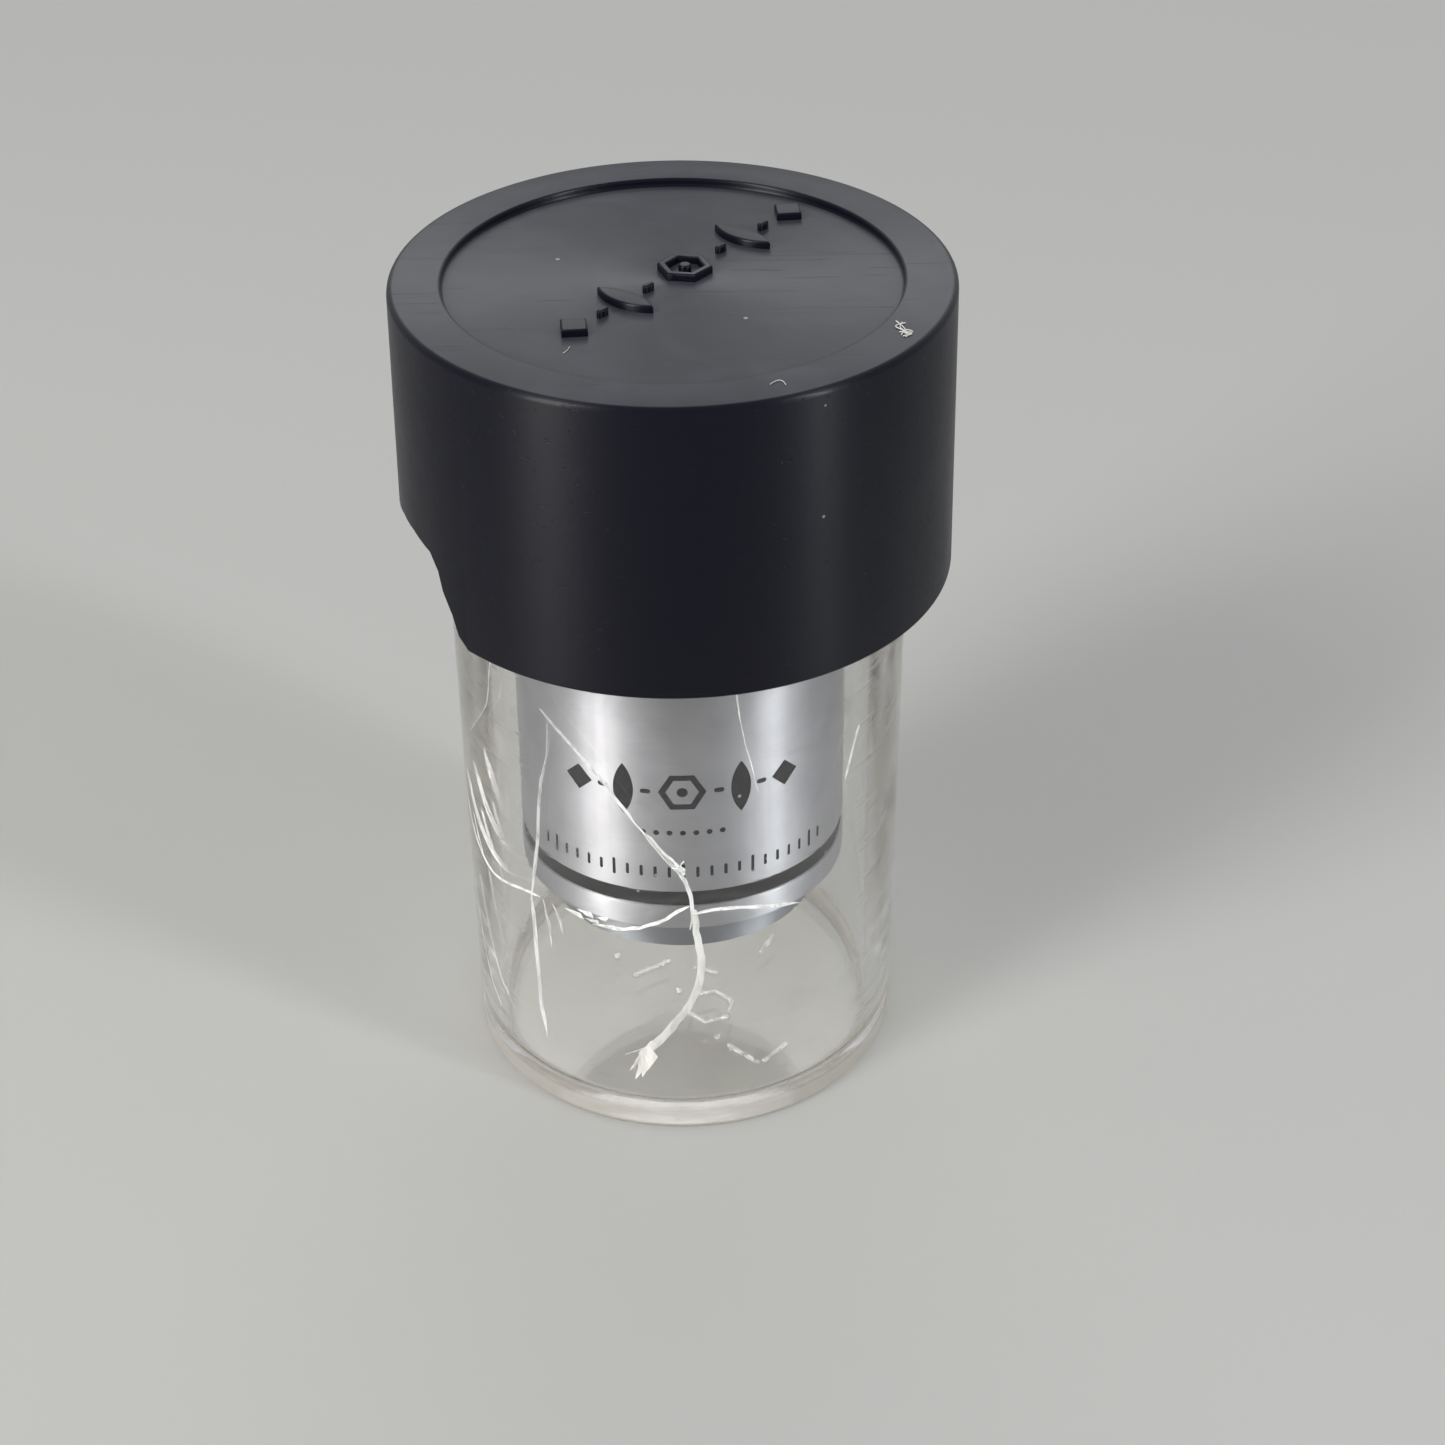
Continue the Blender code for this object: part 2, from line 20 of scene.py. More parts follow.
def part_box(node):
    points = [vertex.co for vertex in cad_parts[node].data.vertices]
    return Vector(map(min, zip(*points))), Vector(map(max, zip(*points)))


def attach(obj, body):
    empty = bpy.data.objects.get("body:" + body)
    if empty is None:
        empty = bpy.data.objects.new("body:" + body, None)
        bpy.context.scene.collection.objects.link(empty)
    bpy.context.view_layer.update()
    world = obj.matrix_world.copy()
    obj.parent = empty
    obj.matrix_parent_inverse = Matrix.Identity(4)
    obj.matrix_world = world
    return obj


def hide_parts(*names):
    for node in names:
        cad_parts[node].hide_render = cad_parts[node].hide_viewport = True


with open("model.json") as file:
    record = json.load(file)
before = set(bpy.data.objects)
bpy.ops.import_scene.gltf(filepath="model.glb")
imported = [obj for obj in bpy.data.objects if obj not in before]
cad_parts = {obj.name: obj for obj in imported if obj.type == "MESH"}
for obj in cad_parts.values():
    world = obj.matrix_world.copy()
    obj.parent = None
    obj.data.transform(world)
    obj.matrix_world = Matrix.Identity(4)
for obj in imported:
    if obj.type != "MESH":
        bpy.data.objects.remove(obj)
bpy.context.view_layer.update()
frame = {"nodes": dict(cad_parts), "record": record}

# %% [markdown]
# ## Sizes
#
# Everything is turned about one upright axis, so most sizes are a radius or a height. The outer ones
# are read from the frame, and a finer piece can then never be larger than the plain one it replaces.
# Walls, rounds and threads are this object's own and get names here.

# %% Radii and heights read from the frame
MM = 0.001


def reach(node):
    """The outer radius, the lowest and the highest point of a turned CAD piece."""
    low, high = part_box(node)
    return high.x, low.z, high.z


CAP_RIM_RADIUS, CAP_RIM_Z, CAP_TOP_Z = reach("case_cap")
BARREL_RADIUS, BARREL_Z, BARREL_TOP_Z = reach("outer_barrel")
SPIGOT_RADIUS, NOSE_Z, NOSE_TOP_Z = reach("nose_ring")
FLANGE_RADIUS, MOUNT_SPIGOT_Z, SHANK_TOP_Z = reach("mount_ring")
LINER_RADIUS, LINER_Z, LINER_TOP_Z = reach("sealing_liner")
WASHER_RADIUS, WASHER_Z, WASHER_TOP_Z = reach("seat_washer")
JAR_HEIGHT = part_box("case_jar")[1].z
print(f"cap {2000 * CAP_RIM_RADIUS:.2f} mm across, barrel {2000 * BARREL_RADIUS:.2f} mm across")

# %% Sizes of the jar, the cap and their thread
JAR_BORE_RADIUS = 15.516 * MM
JAR_MOUTH_RADIUS = 16.916 * MM
JAR_BASE_RADIUS = 16.416 * MM
JAR_WALL = JAR_MOUTH_RADIUS - JAR_BORE_RADIUS
JAR_FLOOR = 1.6 * MM
JAR_FOOT_ROUND = 0.5 * MM
JAR_HEEL_ROUND = 1.2 * MM
JAR_LIP_ROUND = 0.3 * MM

LINT_HEIGHT = 0.12 * MM
CAP_FACE_Z = CAP_TOP_Z - LINT_HEIGHT
CAP_TOP_RADIUS = 19.666 * MM
CAP_BORE_RADIUS = 18.416 * MM
CAP_ROOF_Z = 61.6 * MM
CAP_EDGE_ROUND = 0.5 * MM
CAP_RIM_ROUND = 0.25 * MM
RECESS_RADIUS = 15.966 * MM
RECESS_Z = 63.45 * MM
RECESS_ROUND = 0.22 * MM
SOCKET_RADIUS = 13.36 * MM
SOCKET_BORE_RADIUS = 10.16 * MM
SOCKET_MOUTH_Z = 56.4 * MM

THREAD_PITCH = 3 * MM
THREAD_TURNS = 1.5
THREAD_ROOT = 1.4 * MM
THREAD_CREST = 0.7 * MM
THREAD_HEIGHT = 1.1 * MM
THREAD_SINK = 0.3 * MM
THREAD_CREST_GAP = 0.4 * MM
THREAD_RUN_OUT = 20  # degrees over which a thread's end dies away
JAR_THREAD_ANGLE = 170
JAR_THREAD_Z = CAP_RIM_Z + 2.2 * MM
CAP_THREAD_ANGLE = 182
CAP_THREAD_Z = CAP_RIM_Z + 0.95 * MM

CASE_STEPS = 240
LENS_STEPS = 200

# %% [markdown]
# ## Modelling helpers
#
# A turned piece is made as on a lathe: one vertex is extruded along the outline of half the section,
# and the outline is spun round the axis. Round corners are written as a radius on a corner, so the
# outline keeps only the points that its shape needs.


# %% Selecting, naming and finishing
def only(piece):
    """Leaves this piece alone selected and active."""
    bpy.ops.object.select_all(action="DESELECT")
    piece.select_set(True)
    bpy.context.view_layer.objects.active = piece


def tidy(piece):
    """Merges doubles and turns every face outwards."""
    only(piece)
    bpy.ops.object.mode_set(mode="EDIT")
    bpy.ops.mesh.select_all(action="SELECT")
    bpy.ops.mesh.remove_doubles(threshold=1e-6)
    bpy.ops.mesh.normals_make_consistent(inside=False)
    bpy.ops.object.mode_set(mode="OBJECT")
    return piece


def settle_place(piece, place=(0, 0, 0), turn=(0, 0, 0)):
    """Turns and moves a piece, in degrees and metres, and puts the result into its mesh."""
    only(piece)
    piece.rotation_euler = Euler([math.radians(angle) for angle in turn])
    piece.location = place
    bpy.ops.object.transform_apply(location=True, rotation=True, scale=True)
    return piece


def coat(piece, *materials):
    """Gives a piece its finishes, before it is combined with others."""
    for material in materials:
        piece.data.materials.append(material)
    return piece


def deliver(piece, body, slot, *replaced, smooth_below=35):
    """The last step of every piece: smooth shading, the body that carries it, and what it stands for."""
    only(piece)
    bpy.ops.object.shade_smooth_by_angle(angle=math.radians(smooth_below))
    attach(piece, body)
    if replaced:
        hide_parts(*replaced)
    print(f"{piece.name}: {len(piece.data.polygons)} faces, rides on {body}")
    return piece


# %% Round corners and the lathe
def rounded(corners, steps=5):
    """Points of a closed outline from corners (r, z, round). A round of 0 keeps the corner sharp."""
    points = []
    for index, (r, z, radius) in enumerate(corners):
        corner = Vector((r, z))
        if radius == 0:
            points.append((r, z))
            continue
        back = (Vector(corners[index - 1][:2]) - corner).normalized()
        ahead = (Vector(corners[(index + 1) % len(corners)][:2]) - corner).normalized()
        half = back.angle(ahead) / 2
        centre = corner + (back + ahead).normalized() * (radius / math.sin(half))
        start = corner + back * (radius / math.tan(half)) - centre
        end = corner + ahead * (radius / math.tan(half)) - centre
        sweep = start.angle(end)
        for step in range(steps + 1):
            share = step / steps
            spoke = start * math.sin((1 - share) * sweep) + end * math.sin(share * sweep)
            points.append(tuple(centre + spoke / math.sin(sweep)))
    return points


def lathe(name, corners, steps):
    """Extrudes one vertex round a closed outline of the section and spins it about the Z axis."""
    outline = rounded(corners)
    outline.append(outline[0])
    bpy.ops.object.select_all(action="DESELECT")
    bpy.ops.mesh.primitive_plane_add(size=MM)
    piece = bpy.context.active_object
    piece.name = name
    bpy.ops.object.mode_set(mode="EDIT")
    bpy.ops.mesh.select_all(action="SELECT")
    bpy.ops.mesh.merge(type="CENTER")
    bpy.ops.transform.translate(value=(outline[0][0], 0, outline[0][1]))
    for here, after in zip(outline, outline[1:]):
        move = (after[0] - here[0], 0, after[1] - here[1])
        bpy.ops.mesh.extrude_region_move(TRANSFORM_OT_translate={"value": move})
    bpy.ops.mesh.select_all(action="SELECT")
    bpy.ops.mesh.spin(steps=steps, angle=math.tau, center=(0, 0, 0), axis=(0, 0, 1))
    bpy.ops.object.mode_set(mode="OBJECT")
    return tidy(piece)


# %% Joining, cutting and threads
def combine(piece, tool, operation="DIFFERENCE"):
    """A Boolean with another piece, which is used up. New faces keep the tool's finish, if it has one."""
    if len(tool.data.materials) == 0:
        coat(tool, piece.data.materials[0])
    only(piece)
    modifier = piece.modifiers.new("Combine", "BOOLEAN")
    modifier.operation = operation
    modifier.object = tool
    modifier.material_mode = "TRANSFER"
    bpy.ops.object.modifier_apply(modifier=modifier.name)
    bpy.data.objects.remove(tool)
    return piece


def helix(name, root_radius, crest_radius, start_angle, start_z, pitch, turns, root, crest, run_out):
    """A thread's ridge: a small trapezium swept up the helix by a Screw modifier, dying away at its ends."""
    bpy.ops.object.select_all(action="DESELECT")
    bpy.ops.mesh.primitive_plane_add(size=1)
    ridge = bpy.context.active_object
    ridge.name = name
    widths = ((root_radius, root), (crest_radius, crest))
    corners = [(r, side * width / 2) for side in (-1, 1) for r, width in widths]
    for vertex, (r, z) in zip(ridge.data.vertices, corners):
        vertex.co = (r, 0, z)
    steps = round(turns * CASE_STEPS / 2)
    screw = ridge.modifiers.new("Thread", "SCREW")
    screw.angle = math.tau * turns
    screw.screw_offset = pitch * turns
    screw.steps = screw.render_steps = steps
    screw.use_merge_vertices = False
    bpy.ops.object.modifier_apply(modifier=screw.name)
    fade_steps = max(1, round(steps * run_out / (360 * turns)))
    for vertex in ridge.data.vertices:
        step = round((math.atan2(vertex.co.y, vertex.co.x) % math.tau) / math.tau * CASE_STEPS / 2)
        r = math.hypot(vertex.co.x, vertex.co.y)
        lap = round((vertex.co.z / pitch - step / (CASE_STEPS / 2)))
        travelled = step + lap * CASE_STEPS / 2
        share = min(1, max(0, travelled) / fade_steps, max(0, steps - travelled) / fade_steps)
        height = root_radius + (r - root_radius) * (0.3 + 0.7 * math.sin(share * math.pi / 2))
        vertex.co.x *= height / r
        vertex.co.y *= height / r
    bpy.ops.object.mode_set(mode="EDIT")
    bpy.ops.mesh.select_all(action="SELECT")
    bpy.ops.mesh.fill_holes(sides=4)
    bpy.ops.object.mode_set(mode="OBJECT")
    tidy(ridge)
    return settle_place(ridge, (0, 0, start_z), (0, 0, start_angle))


# %% [markdown]
# ## Shader helpers
#
# A finish is a sum of patterns: fine grain, slow blotches, specks of dust. Written as nodes by hand
# such a sum is long, so a socket is wrapped in a small class, and `1 - dust * 0.4` then adds the Math
# nodes that it needs.


# %% Wire and Finish
class Wire:
    """A node's output that can be used in sums."""

    def __init__(self, finish, socket):
        self.finish = finish
        self.socket = socket

    def _math(self, operation, first, second):
        return self.finish.node("ShaderNodeMath", {"operation": operation}, {0: first, 1: second})

    def __add__(self, other):
        return self._math("ADD", self, other)

    def __radd__(self, other):
        return self._math("ADD", other, self)

    def __sub__(self, other):
        return self._math("SUBTRACT", self, other)

    def __rsub__(self, other):
        return self._math("SUBTRACT", other, self)

    def __mul__(self, other):
        return self._math("MULTIPLY", self, other)

    def __rmul__(self, other):
        return self._math("MULTIPLY", other, self)

    def __lt__(self, other):
        return self._math("LESS_THAN", self, other)


class Finish:
    """One material: a Principled shader, with patterns that read the object's own coordinates."""

    def __init__(self, name, **sockets):
        self.material = bpy.data.materials.new(name)
        self.material.use_nodes = True
        self.tree = self.material.node_tree
        self.shader = self.tree.nodes["Principled BSDF"]
        for socket, value in sockets.items():
            self.set(socket.replace("_", " ").title().replace("Ior", "IOR"), value)

    def feed(self, socket, value):
        if isinstance(value, Wire):
            self.tree.links.new(value.socket, socket)
        elif isinstance(value, tuple) and len(value) == 3 and socket.type == "RGBA":
            socket.default_value = (*value, 1.0)
        else:
            socket.default_value = value

    def set(self, name, value):
        self.feed(self.shader.inputs[name], value)

    def node(self, kind, settings=None, inputs=None, output=0):
        """Adds a node: its settings first, then the values or links of its sockets."""
        made = self.tree.nodes.new(kind)
        for name, value in (settings or {}).items():
            setattr(made, name, value)
        for name, value in (inputs or {}).items():
            self.feed(made.inputs[name], value)
        return Wire(self, made.outputs[output])

    def place(self, scale=(1, 1, 1), turn=(0, 0, 0)):
        """Object coordinates, turned in degrees and stretched."""
        coordinates = self.node("ShaderNodeTexCoord", output="Object")
        angles = tuple(math.radians(angle) for angle in turn)
        inputs = {"Vector": coordinates, "Rotation": angles, "Scale": scale}
        return self.node("ShaderNodeMapping", None, inputs)

    def noise(self, scale, detail=3, stretch=(1, 1, 1), turn=(0, 0, 0), distortion=0.0):
        """Noise from 0 to 1. Scale is in repeats for each metre."""
        inputs = {"Vector": self.place(stretch, turn), "Scale": scale, "Detail": detail}
        return self.node("ShaderNodeTexNoise", None, {**inputs, "Distortion": distortion})

    def specks(self, per_metre, size, share):
        """Round specks: 1 inside, 0 outside. Share is how many of the cells hold one."""
        settings = {"feature": "F1"}
        cells = {"Vector": self.place(), "Scale": per_metre}
        distance = self.node("ShaderNodeTexVoronoi", settings, cells, "Distance")
        colour = self.node("ShaderNodeTexVoronoi", settings, cells, "Color")
        chosen = self.node("ShaderNodeSeparateColor", None, {"Color": colour}) < share
        return (distance < size) * chosen

    def band(self, value, low, high):
        """0 below low, 1 above high, and smooth between."""
        settings = {"interpolation_type": "SMOOTHSTEP"}
        inputs = {"Value": value, "From Min": low, "From Max": high, "To Min": 0.0, "To Max": 1.0}
        return self.node("ShaderNodeMapRange", settings, inputs)

    def mix(self, share, first, second):
        """A colour between two colours."""
        settings = {"data_type": "RGBA"}
        return self.node("ShaderNodeMix", settings, {0: share, 6: first, 7: second}, 2)

    def facing_up(self):
        """1 where the surface faces straight up, 0 where it is upright or faces down."""
        normal = self.node("ShaderNodeNewGeometry", output="Normal")
        return self.node("ShaderNodeSeparateXYZ", None, {"Vector": normal}, "Z")

    def bump(self, height, distance):
        inputs = {"Height": height, "Distance": distance, "Strength": 1.0}
        self.set("Normal", self.node("ShaderNodeBump", None, inputs, "Normal"))


# %% [markdown]
# ## Finishes
#
# The cap is injection-moulded black plastic: a soft gloss, slow blotches where hands have polished it,
# hair scratches, and dust that settles on what faces up. Faces that point up are painted a lighter grey,
# partly a film of dust and partly a painted sheen of the bright room above. It was polished on a lathe,
# so its gloss spreads up and down, and a lamp shows as an upright band.


# %% Black plastic
def black_plastic():
    finish = Finish(
        "black_plastic", ior=1.5, specular_ior_level=0.21, coat_roughness=0.12, anisotropic=0.85,
        anisotropic_rotation=0.25,
    )
    blotches = finish.noise(170, 4, distortion=0.6)
    fine = finish.noise(2600, 4)
    rubs = finish.band(finish.noise(900, 2, (0.08, 1, 1), (0, 0, 38)), 0.62, 0.7)
    scratches = finish.band(finish.noise(2200, 2, (0.03, 1, 1), (0, 0, -52)), 0.68, 0.71)
    top = finish.band(finish.facing_up(), 0.94, 0.995)
    dust = finish.specks(620, 0.1, 0.03) * (0.6 + 0.4 * top)
    # Painted sheen and dust film: faces that point up are painted lighter grey, for the room's reflection as
    # well as for dust
    dust_film_and_sheen = top * (0.45 + 0.4 * finish.band(blotches, 0.3, 0.75) + 0.2 * fine)
    skin_with_film_and_sheen = finish.mix(dust_film_and_sheen, (0.0008, 0.001, 0.0052), (0.05, 0.051, 0.06))
    finish.set("Base Color", finish.mix(dust * 0.7, skin_with_film_and_sheen, (0.4, 0.39, 0.37)))
    finish.set("Roughness", 0.33 + 0.12 * blotches + 0.08 * fine + 0.02 * rubs + 0.2 * dust)
    finish.set("Coat Weight", 0.06 - 0.02 * top)
    finish.bump(fine * 0.5 + blotches * 1.5 + dust * 2 - scratches, 0.000012)
    return finish.material


BLACK_PLASTIC = black_plastic()

# %% [markdown]
# The break in the skirt shows the plastic's inside: duller and rougher than the moulded skin.


# %% Broken plastic
def broken_plastic():
    finish = Finish("broken_plastic")
    shells = finish.noise(1400, 4, distortion=1.2)
    finish.set("Base Color", finish.mix(shells, (0.012, 0.012, 0.014), (0.06, 0.06, 0.065)))
    finish.set("Roughness", 0.32 + 0.3 * shells)
    finish.bump(shells, 0.00015)
    return finish.material


BROKEN_PLASTIC = broken_plastic()

# %% [markdown]
# The jar is clear styrene, yellowed a little with age. Clear plastic bends what is behind it. Lamps
# would leave its inside black, because light that is bent twice seldom finds its way back to a lamp, so
# shadow rays pass straight through it with the plastic's tint. Where the wall meets the floor the
# plastic is thickest, and light gathered along the wall makes it glow cream there. A second shader paints
# that glow in as an opaque cream colour, and it also gives the whole wall a faint real haze.


# %% Clear plastic
def clear_plastic():
    finish = Finish("clear_plastic", ior=1.46, transmission_weight=1.0)
    cloud = finish.noise(90, 3)
    rubbed = finish.band(finish.noise(1500, 3, (0.1, 0.1, 1), (12, 0, 0)), 0.6, 0.68)
    tint = finish.mix(finish.band(cloud, 0.4, 0.65), (0.985, 0.983, 0.975), (0.965, 0.962, 0.95))
    finish.set("Base Color", tint)
    finish.set("Roughness", 0.012 + 0.02 * cloud + 0.09 * rubbed)
    finish.bump(cloud * 2 + rubbed * 0.1, 0.00001)
    streaks = finish.noise(700, 4, (1, 1, 0.4))
    # Painted glow: an opaque cream for light gathered in the thick foot, also used thinly as haze over the
    # wall
    glow_and_haze_cream = finish.mix(streaks, (0.43, 0.405, 0.365), (0.375, 0.35, 0.315))
    rough = 0.3 + 0.3 * streaks
    haze_and_painted_glow = finish.node("ShaderNodeBsdfPrincipled", None, {"Base Color": glow_and_haze_cream, "Roughness": rough})
    across = finish.node("ShaderNodeVectorMath", {"operation": "MULTIPLY"}, {0: finish.place(), 1: (1, 1, 0)})
    radius = finish.node("ShaderNodeVectorMath", {"operation": "LENGTH"}, {0: across}, "Value")
    height = finish.node("ShaderNodeSeparateXYZ", None, {"Vector": finish.place()}, "Z")
    # The mask of the foot, where the cream glow is painted on
    low = 1 - finish.band(height, 1.5 * MM, 2.6 * MM)
    painted_foot_glow = finish.band(radius, FOOT_RADIUS, FOOT_RADIUS + 0.5 * MM) * low
    veil = 0.005 + 0.03 * rubbed + 0.008 * cloud
    share = veil + painted_foot_glow * (0.66 + 0.2 * streaks)
    clear = Wire(finish, finish.shader.outputs[0])
    body = finish.node("ShaderNodeMixShader", None, {0: share, 1: clear, 2: haze_and_painted_glow})
    passed = finish.node("ShaderNodeBsdfTransparent", None, {"Color": (0.74, 0.735, 0.72)})
    shadow_ray = finish.node("ShaderNodeLightPath", output="Is Shadow Ray")
    either = finish.node("ShaderNodeMixShader", None, {0: shadow_ray, 1: body, 2: passed})
    finish.feed(finish.tree.nodes["Material Output"].inputs["Surface"], either)
    return finish.material


FOOT_RADIUS = JAR_BASE_RADIUS - JAR_WALL
CLEAR_PLASTIC = clear_plastic()

# %% [markdown]
# The objective's barrel is satin-chromed brass, turned first, so very fine rings run round it under a
# soft sheen. It has small scuffs. Its paint-filled band and engraved marks are black with pale dust.


# %% Satin metal and its black paint
def satin_metal(name, colour, roughness):
    finish = Finish(name, metallic=1.0, anisotropic=0.9, anisotropic_rotation=0.25)
    rings = finish.noise(5200, 2, (0.02, 0.02, 1))
    grain = finish.noise(6500, 3)
    blotches = finish.noise(240, 4)
    scuffs = finish.band(finish.noise(1300, 4, (1, 1, 2.5)), 0.66, 0.72)
    darker = tuple(0.86 * part for part in colour)
    finish.set("Base Color", finish.mix(finish.band(blotches, 0.35, 0.7), colour, darker))
    finish.set("Roughness", roughness + 0.09 * rings + 0.1 * grain + 0.05 * blotches + 0.12 * scuffs)
    finish.bump(rings * 0.6 + grain * 0.6 - scuffs, 0.000005)
    return finish.material


def engraving_paint():
    finish = Finish("engraving_paint", specular_ior_level=0.15)
    patches = finish.noise(1500, 4)
    dust = finish.specks(1500, 0.2, 0.12)
    finish.set("Base Color", finish.mix(dust * 0.75, (0.004, 0.004, 0.006), (0.5, 0.5, 0.48)))
    finish.set("Roughness", 0.42 + 0.25 * patches)
    finish.bump(patches + dust, 0.00002)
    return finish.material


SATIN_METAL = satin_metal("satin_metal", (0.5, 0.5, 0.53), 0.36)
NOSE_METAL = satin_metal("nose_metal", (0.32, 0.335, 0.365), 0.36)
ENGRAVING_PAINT = engraving_paint()

# %% [markdown]
# The other metals, the seals and the glass hide inside the lens and the cap, and come out when it is
# opened: bright turned steel, brass, black oxide, matt black anodising, foam, fibre and two glasses.


# %% Metals inside the lens
def turned_metal(name, colour, roughness, metallic=1.0):
    finish = Finish(name, metallic=metallic)
    rings = finish.noise(3800, 3, (0.03, 0.03, 1))
    stains = finish.noise(420, 4)
    dull = tuple(0.72 * part for part in colour)
    finish.set("Base Color", finish.mix(finish.band(stains, 0.42, 0.72), colour, dull))
    finish.set("Roughness", roughness + 0.12 * rings + 0.12 * stains)
    finish.bump(rings, 0.000008)
    return finish.material


BRIGHT_STEEL = turned_metal("bright_steel", (0.62, 0.62, 0.63), 0.2)
BRASS = turned_metal("turned_brass", (0.70, 0.50, 0.24), 0.24)
DARK_STEEL = turned_metal("dark_steel", (0.09, 0.09, 0.1), 0.3)
BLACKENED = turned_metal("blackened_metal", (0.022, 0.022, 0.023), 0.55, 0.3)


# %% Foam, fibre and glass
def foam():
    finish = Finish("liner_foam")
    cells = finish.node("ShaderNodeTexVoronoi", None, {"Vector": finish.place(), "Scale": 4500}, "Distance")
    stains = finish.noise(300, 4)
    finish.set("Base Color", finish.mix(stains, (0.72, 0.70, 0.64), (0.58, 0.54, 0.46)))
    finish.set("Roughness", 0.8 + 0.15 * stains)
    finish.bump(cells, 0.00008)
    return finish.material


def fibre():
    finish = Finish("red_fibre")
    strands = finish.noise(2400, 5, (1, 0.15, 1), (0, 0, 25))
    finish.set("Base Color", finish.mix(strands, (0.24, 0.045, 0.03), (0.36, 0.1, 0.06)))
    finish.set("Roughness", 0.62 + 0.25 * strands)
    finish.bump(strands, 0.00003)
    return finish.material


def optical_glass(name, tint, ior):
    finish = Finish(name, ior=ior, transmission_weight=1.0)
    dust = finish.specks(1800, 0.12, 0.08)
    finish.set("Base Color", tint)
    finish.set("Roughness", 0.005 + 0.3 * dust)
    finish.set("Coat Weight", 0.3 + 0.2 * finish.noise(200, 2))
    return finish.material


LINER_FOAM = foam()
RED_FIBRE = fibre()
CROWN_GLASS = optical_glass("crown_glass", (0.94, 0.96, 0.99), 1.52)
FLINT_GLASS = optical_glass("flint_glass", (0.97, 0.96, 0.92), 1.62)
INSIDE = {
    "clear_plastic": CLEAR_PLASTIC, "black_plastic": BLACK_PLASTIC, "liner_foam": LINER_FOAM,
    "fibre": RED_FIBRE, "bright_steel": BRIGHT_STEEL, "satin_metal": SATIN_METAL, "dark_steel": DARK_STEEL,
    "brass": BRASS, "blackened_metal": BLACKENED, "crown_glass": CROWN_GLASS, "flint_glass": FLINT_GLASS,
}
for subpart in frame["record"]["subparts"]:
    node = frame["nodes"][subpart["node"]]
    node.data.materials.clear()
    node.data.materials.append(INSIDE[subpart["material_slot"]])

# %% [markdown]
# ## The camera
#
# It stands in front of the case and above it, and looks down at about 34 degrees.

# %% Camera
CAMERA_PLACE = (0, -0.17922, 0.14968)
CAMERA_YAW = 0.0177
CAMERA_PITCH = 0.6021
CAMERA_ROLL = -0.0081
camera_data = bpy.data.cameras.new("camera")
camera_data.lens = 71.07
camera_data.sensor_width = 36
camera_data.clip_start = 0.01
camera_data.clip_end = 20
camera = bpy.data.objects.new("camera", camera_data)
bpy.context.scene.collection.objects.link(camera)
aim = Vector((
    math.sin(CAMERA_YAW) * math.cos(CAMERA_PITCH),
    math.cos(CAMERA_YAW) * math.cos(CAMERA_PITCH),
    -math.sin(CAMERA_PITCH),
))
camera.location = CAMERA_PLACE
level = aim.to_track_quat("-Z", "Y").to_matrix()
camera.rotation_euler = (level @ Euler((0, 0, CAMERA_ROLL)).to_matrix()).to_euler()
bpy.context.scene.camera = camera
print("camera", [round(value, 4) for value in camera.rotation_euler])

# %% [markdown]
# ## The jar
#
# A round pot with a thick floor, a small foot round outside and a larger heel round inside, and one
# and a half turns of coarse thread under the cap. It is one closed body, wall and floor together,
# because clear plastic only bends light the right way if its surfaces enclose it.


# %% Jar with its thread
def make_jar():
    floor_radius = JAR_BASE_RADIUS - JAR_WALL
    half_section = [
        (0, JAR_FLOOR, 0), (floor_radius, JAR_FLOOR, JAR_HEEL_ROUND),
        (JAR_BORE_RADIUS, JAR_HEIGHT, JAR_LIP_ROUND), (JAR_MOUTH_RADIUS, JAR_HEIGHT, JAR_LIP_ROUND),
        (JAR_BASE_RADIUS, 0, JAR_FOOT_ROUND), (0, 0, 0),
    ]
    jar = coat(lathe("clear_jar", half_section, CASE_STEPS), CLEAR_PLASTIC)
    outside = JAR_MOUTH_RADIUS - (JAR_MOUTH_RADIUS - JAR_BASE_RADIUS) * (1 - JAR_THREAD_Z / JAR_HEIGHT)
    ridge = helix(
        "jar_thread", outside - THREAD_SINK, JAR_MOUTH_RADIUS + THREAD_HEIGHT, JAR_THREAD_ANGLE, JAR_THREAD_Z,
        THREAD_PITCH, THREAD_TURNS, THREAD_ROOT, THREAD_CREST, THREAD_RUN_OUT,
    )
    combine(jar, ridge, "UNION")
    return deliver(jar, "jar", "clear_plastic", "case_jar")


jar = make_jar()

# %% [markdown]
# ## Flat relief
#
# The cap, the jar's floor and the barrel each carry a mark. They are drawn as flat outlines, filled
# and given a depth, as plain symbols of optical parts, dots, bars and a scale.


# %% Outlines of the symbols
def polygon(x, y, radius, sides, turn=0):
    angles = [math.tau * side / sides + turn for side in range(sides)]
    return [(x + radius * math.cos(angle), y + radius * math.sin(angle)) for angle in angles]


def dot(x, y, radius, sides=24):
    return polygon(x, y, radius, sides)


def bar(x0, y0, x1, y1, width):
    """A straight stroke with round ends."""
    along = math.atan2(y1 - y0, x1 - x0)
    points = []
    for x, y, side in ((x1, y1, -90), (x0, y0, 90)):
        for step in range(7):
            angle = along + math.radians(side + step * 30)
            points.append((x + width / 2 * math.cos(angle), y + width / 2 * math.sin(angle)))
    return points


def biconvex(x, y, height, thickness, steps=14):
    """The section of a biconvex lens: two arcs that meet at its tips."""
    radius = (height**2 / 4 + thickness**2 / 4) / thickness
    half = math.asin(height / 2 / radius)
    points = []
    for side in (1, -1):
        for step in range(steps):
            angle = half * (2 * step / steps - 1)
            across = radius * math.cos(angle) - (radius - thickness / 2)
            points.append((x + side * across, y + side * radius * math.sin(angle)))
    return points


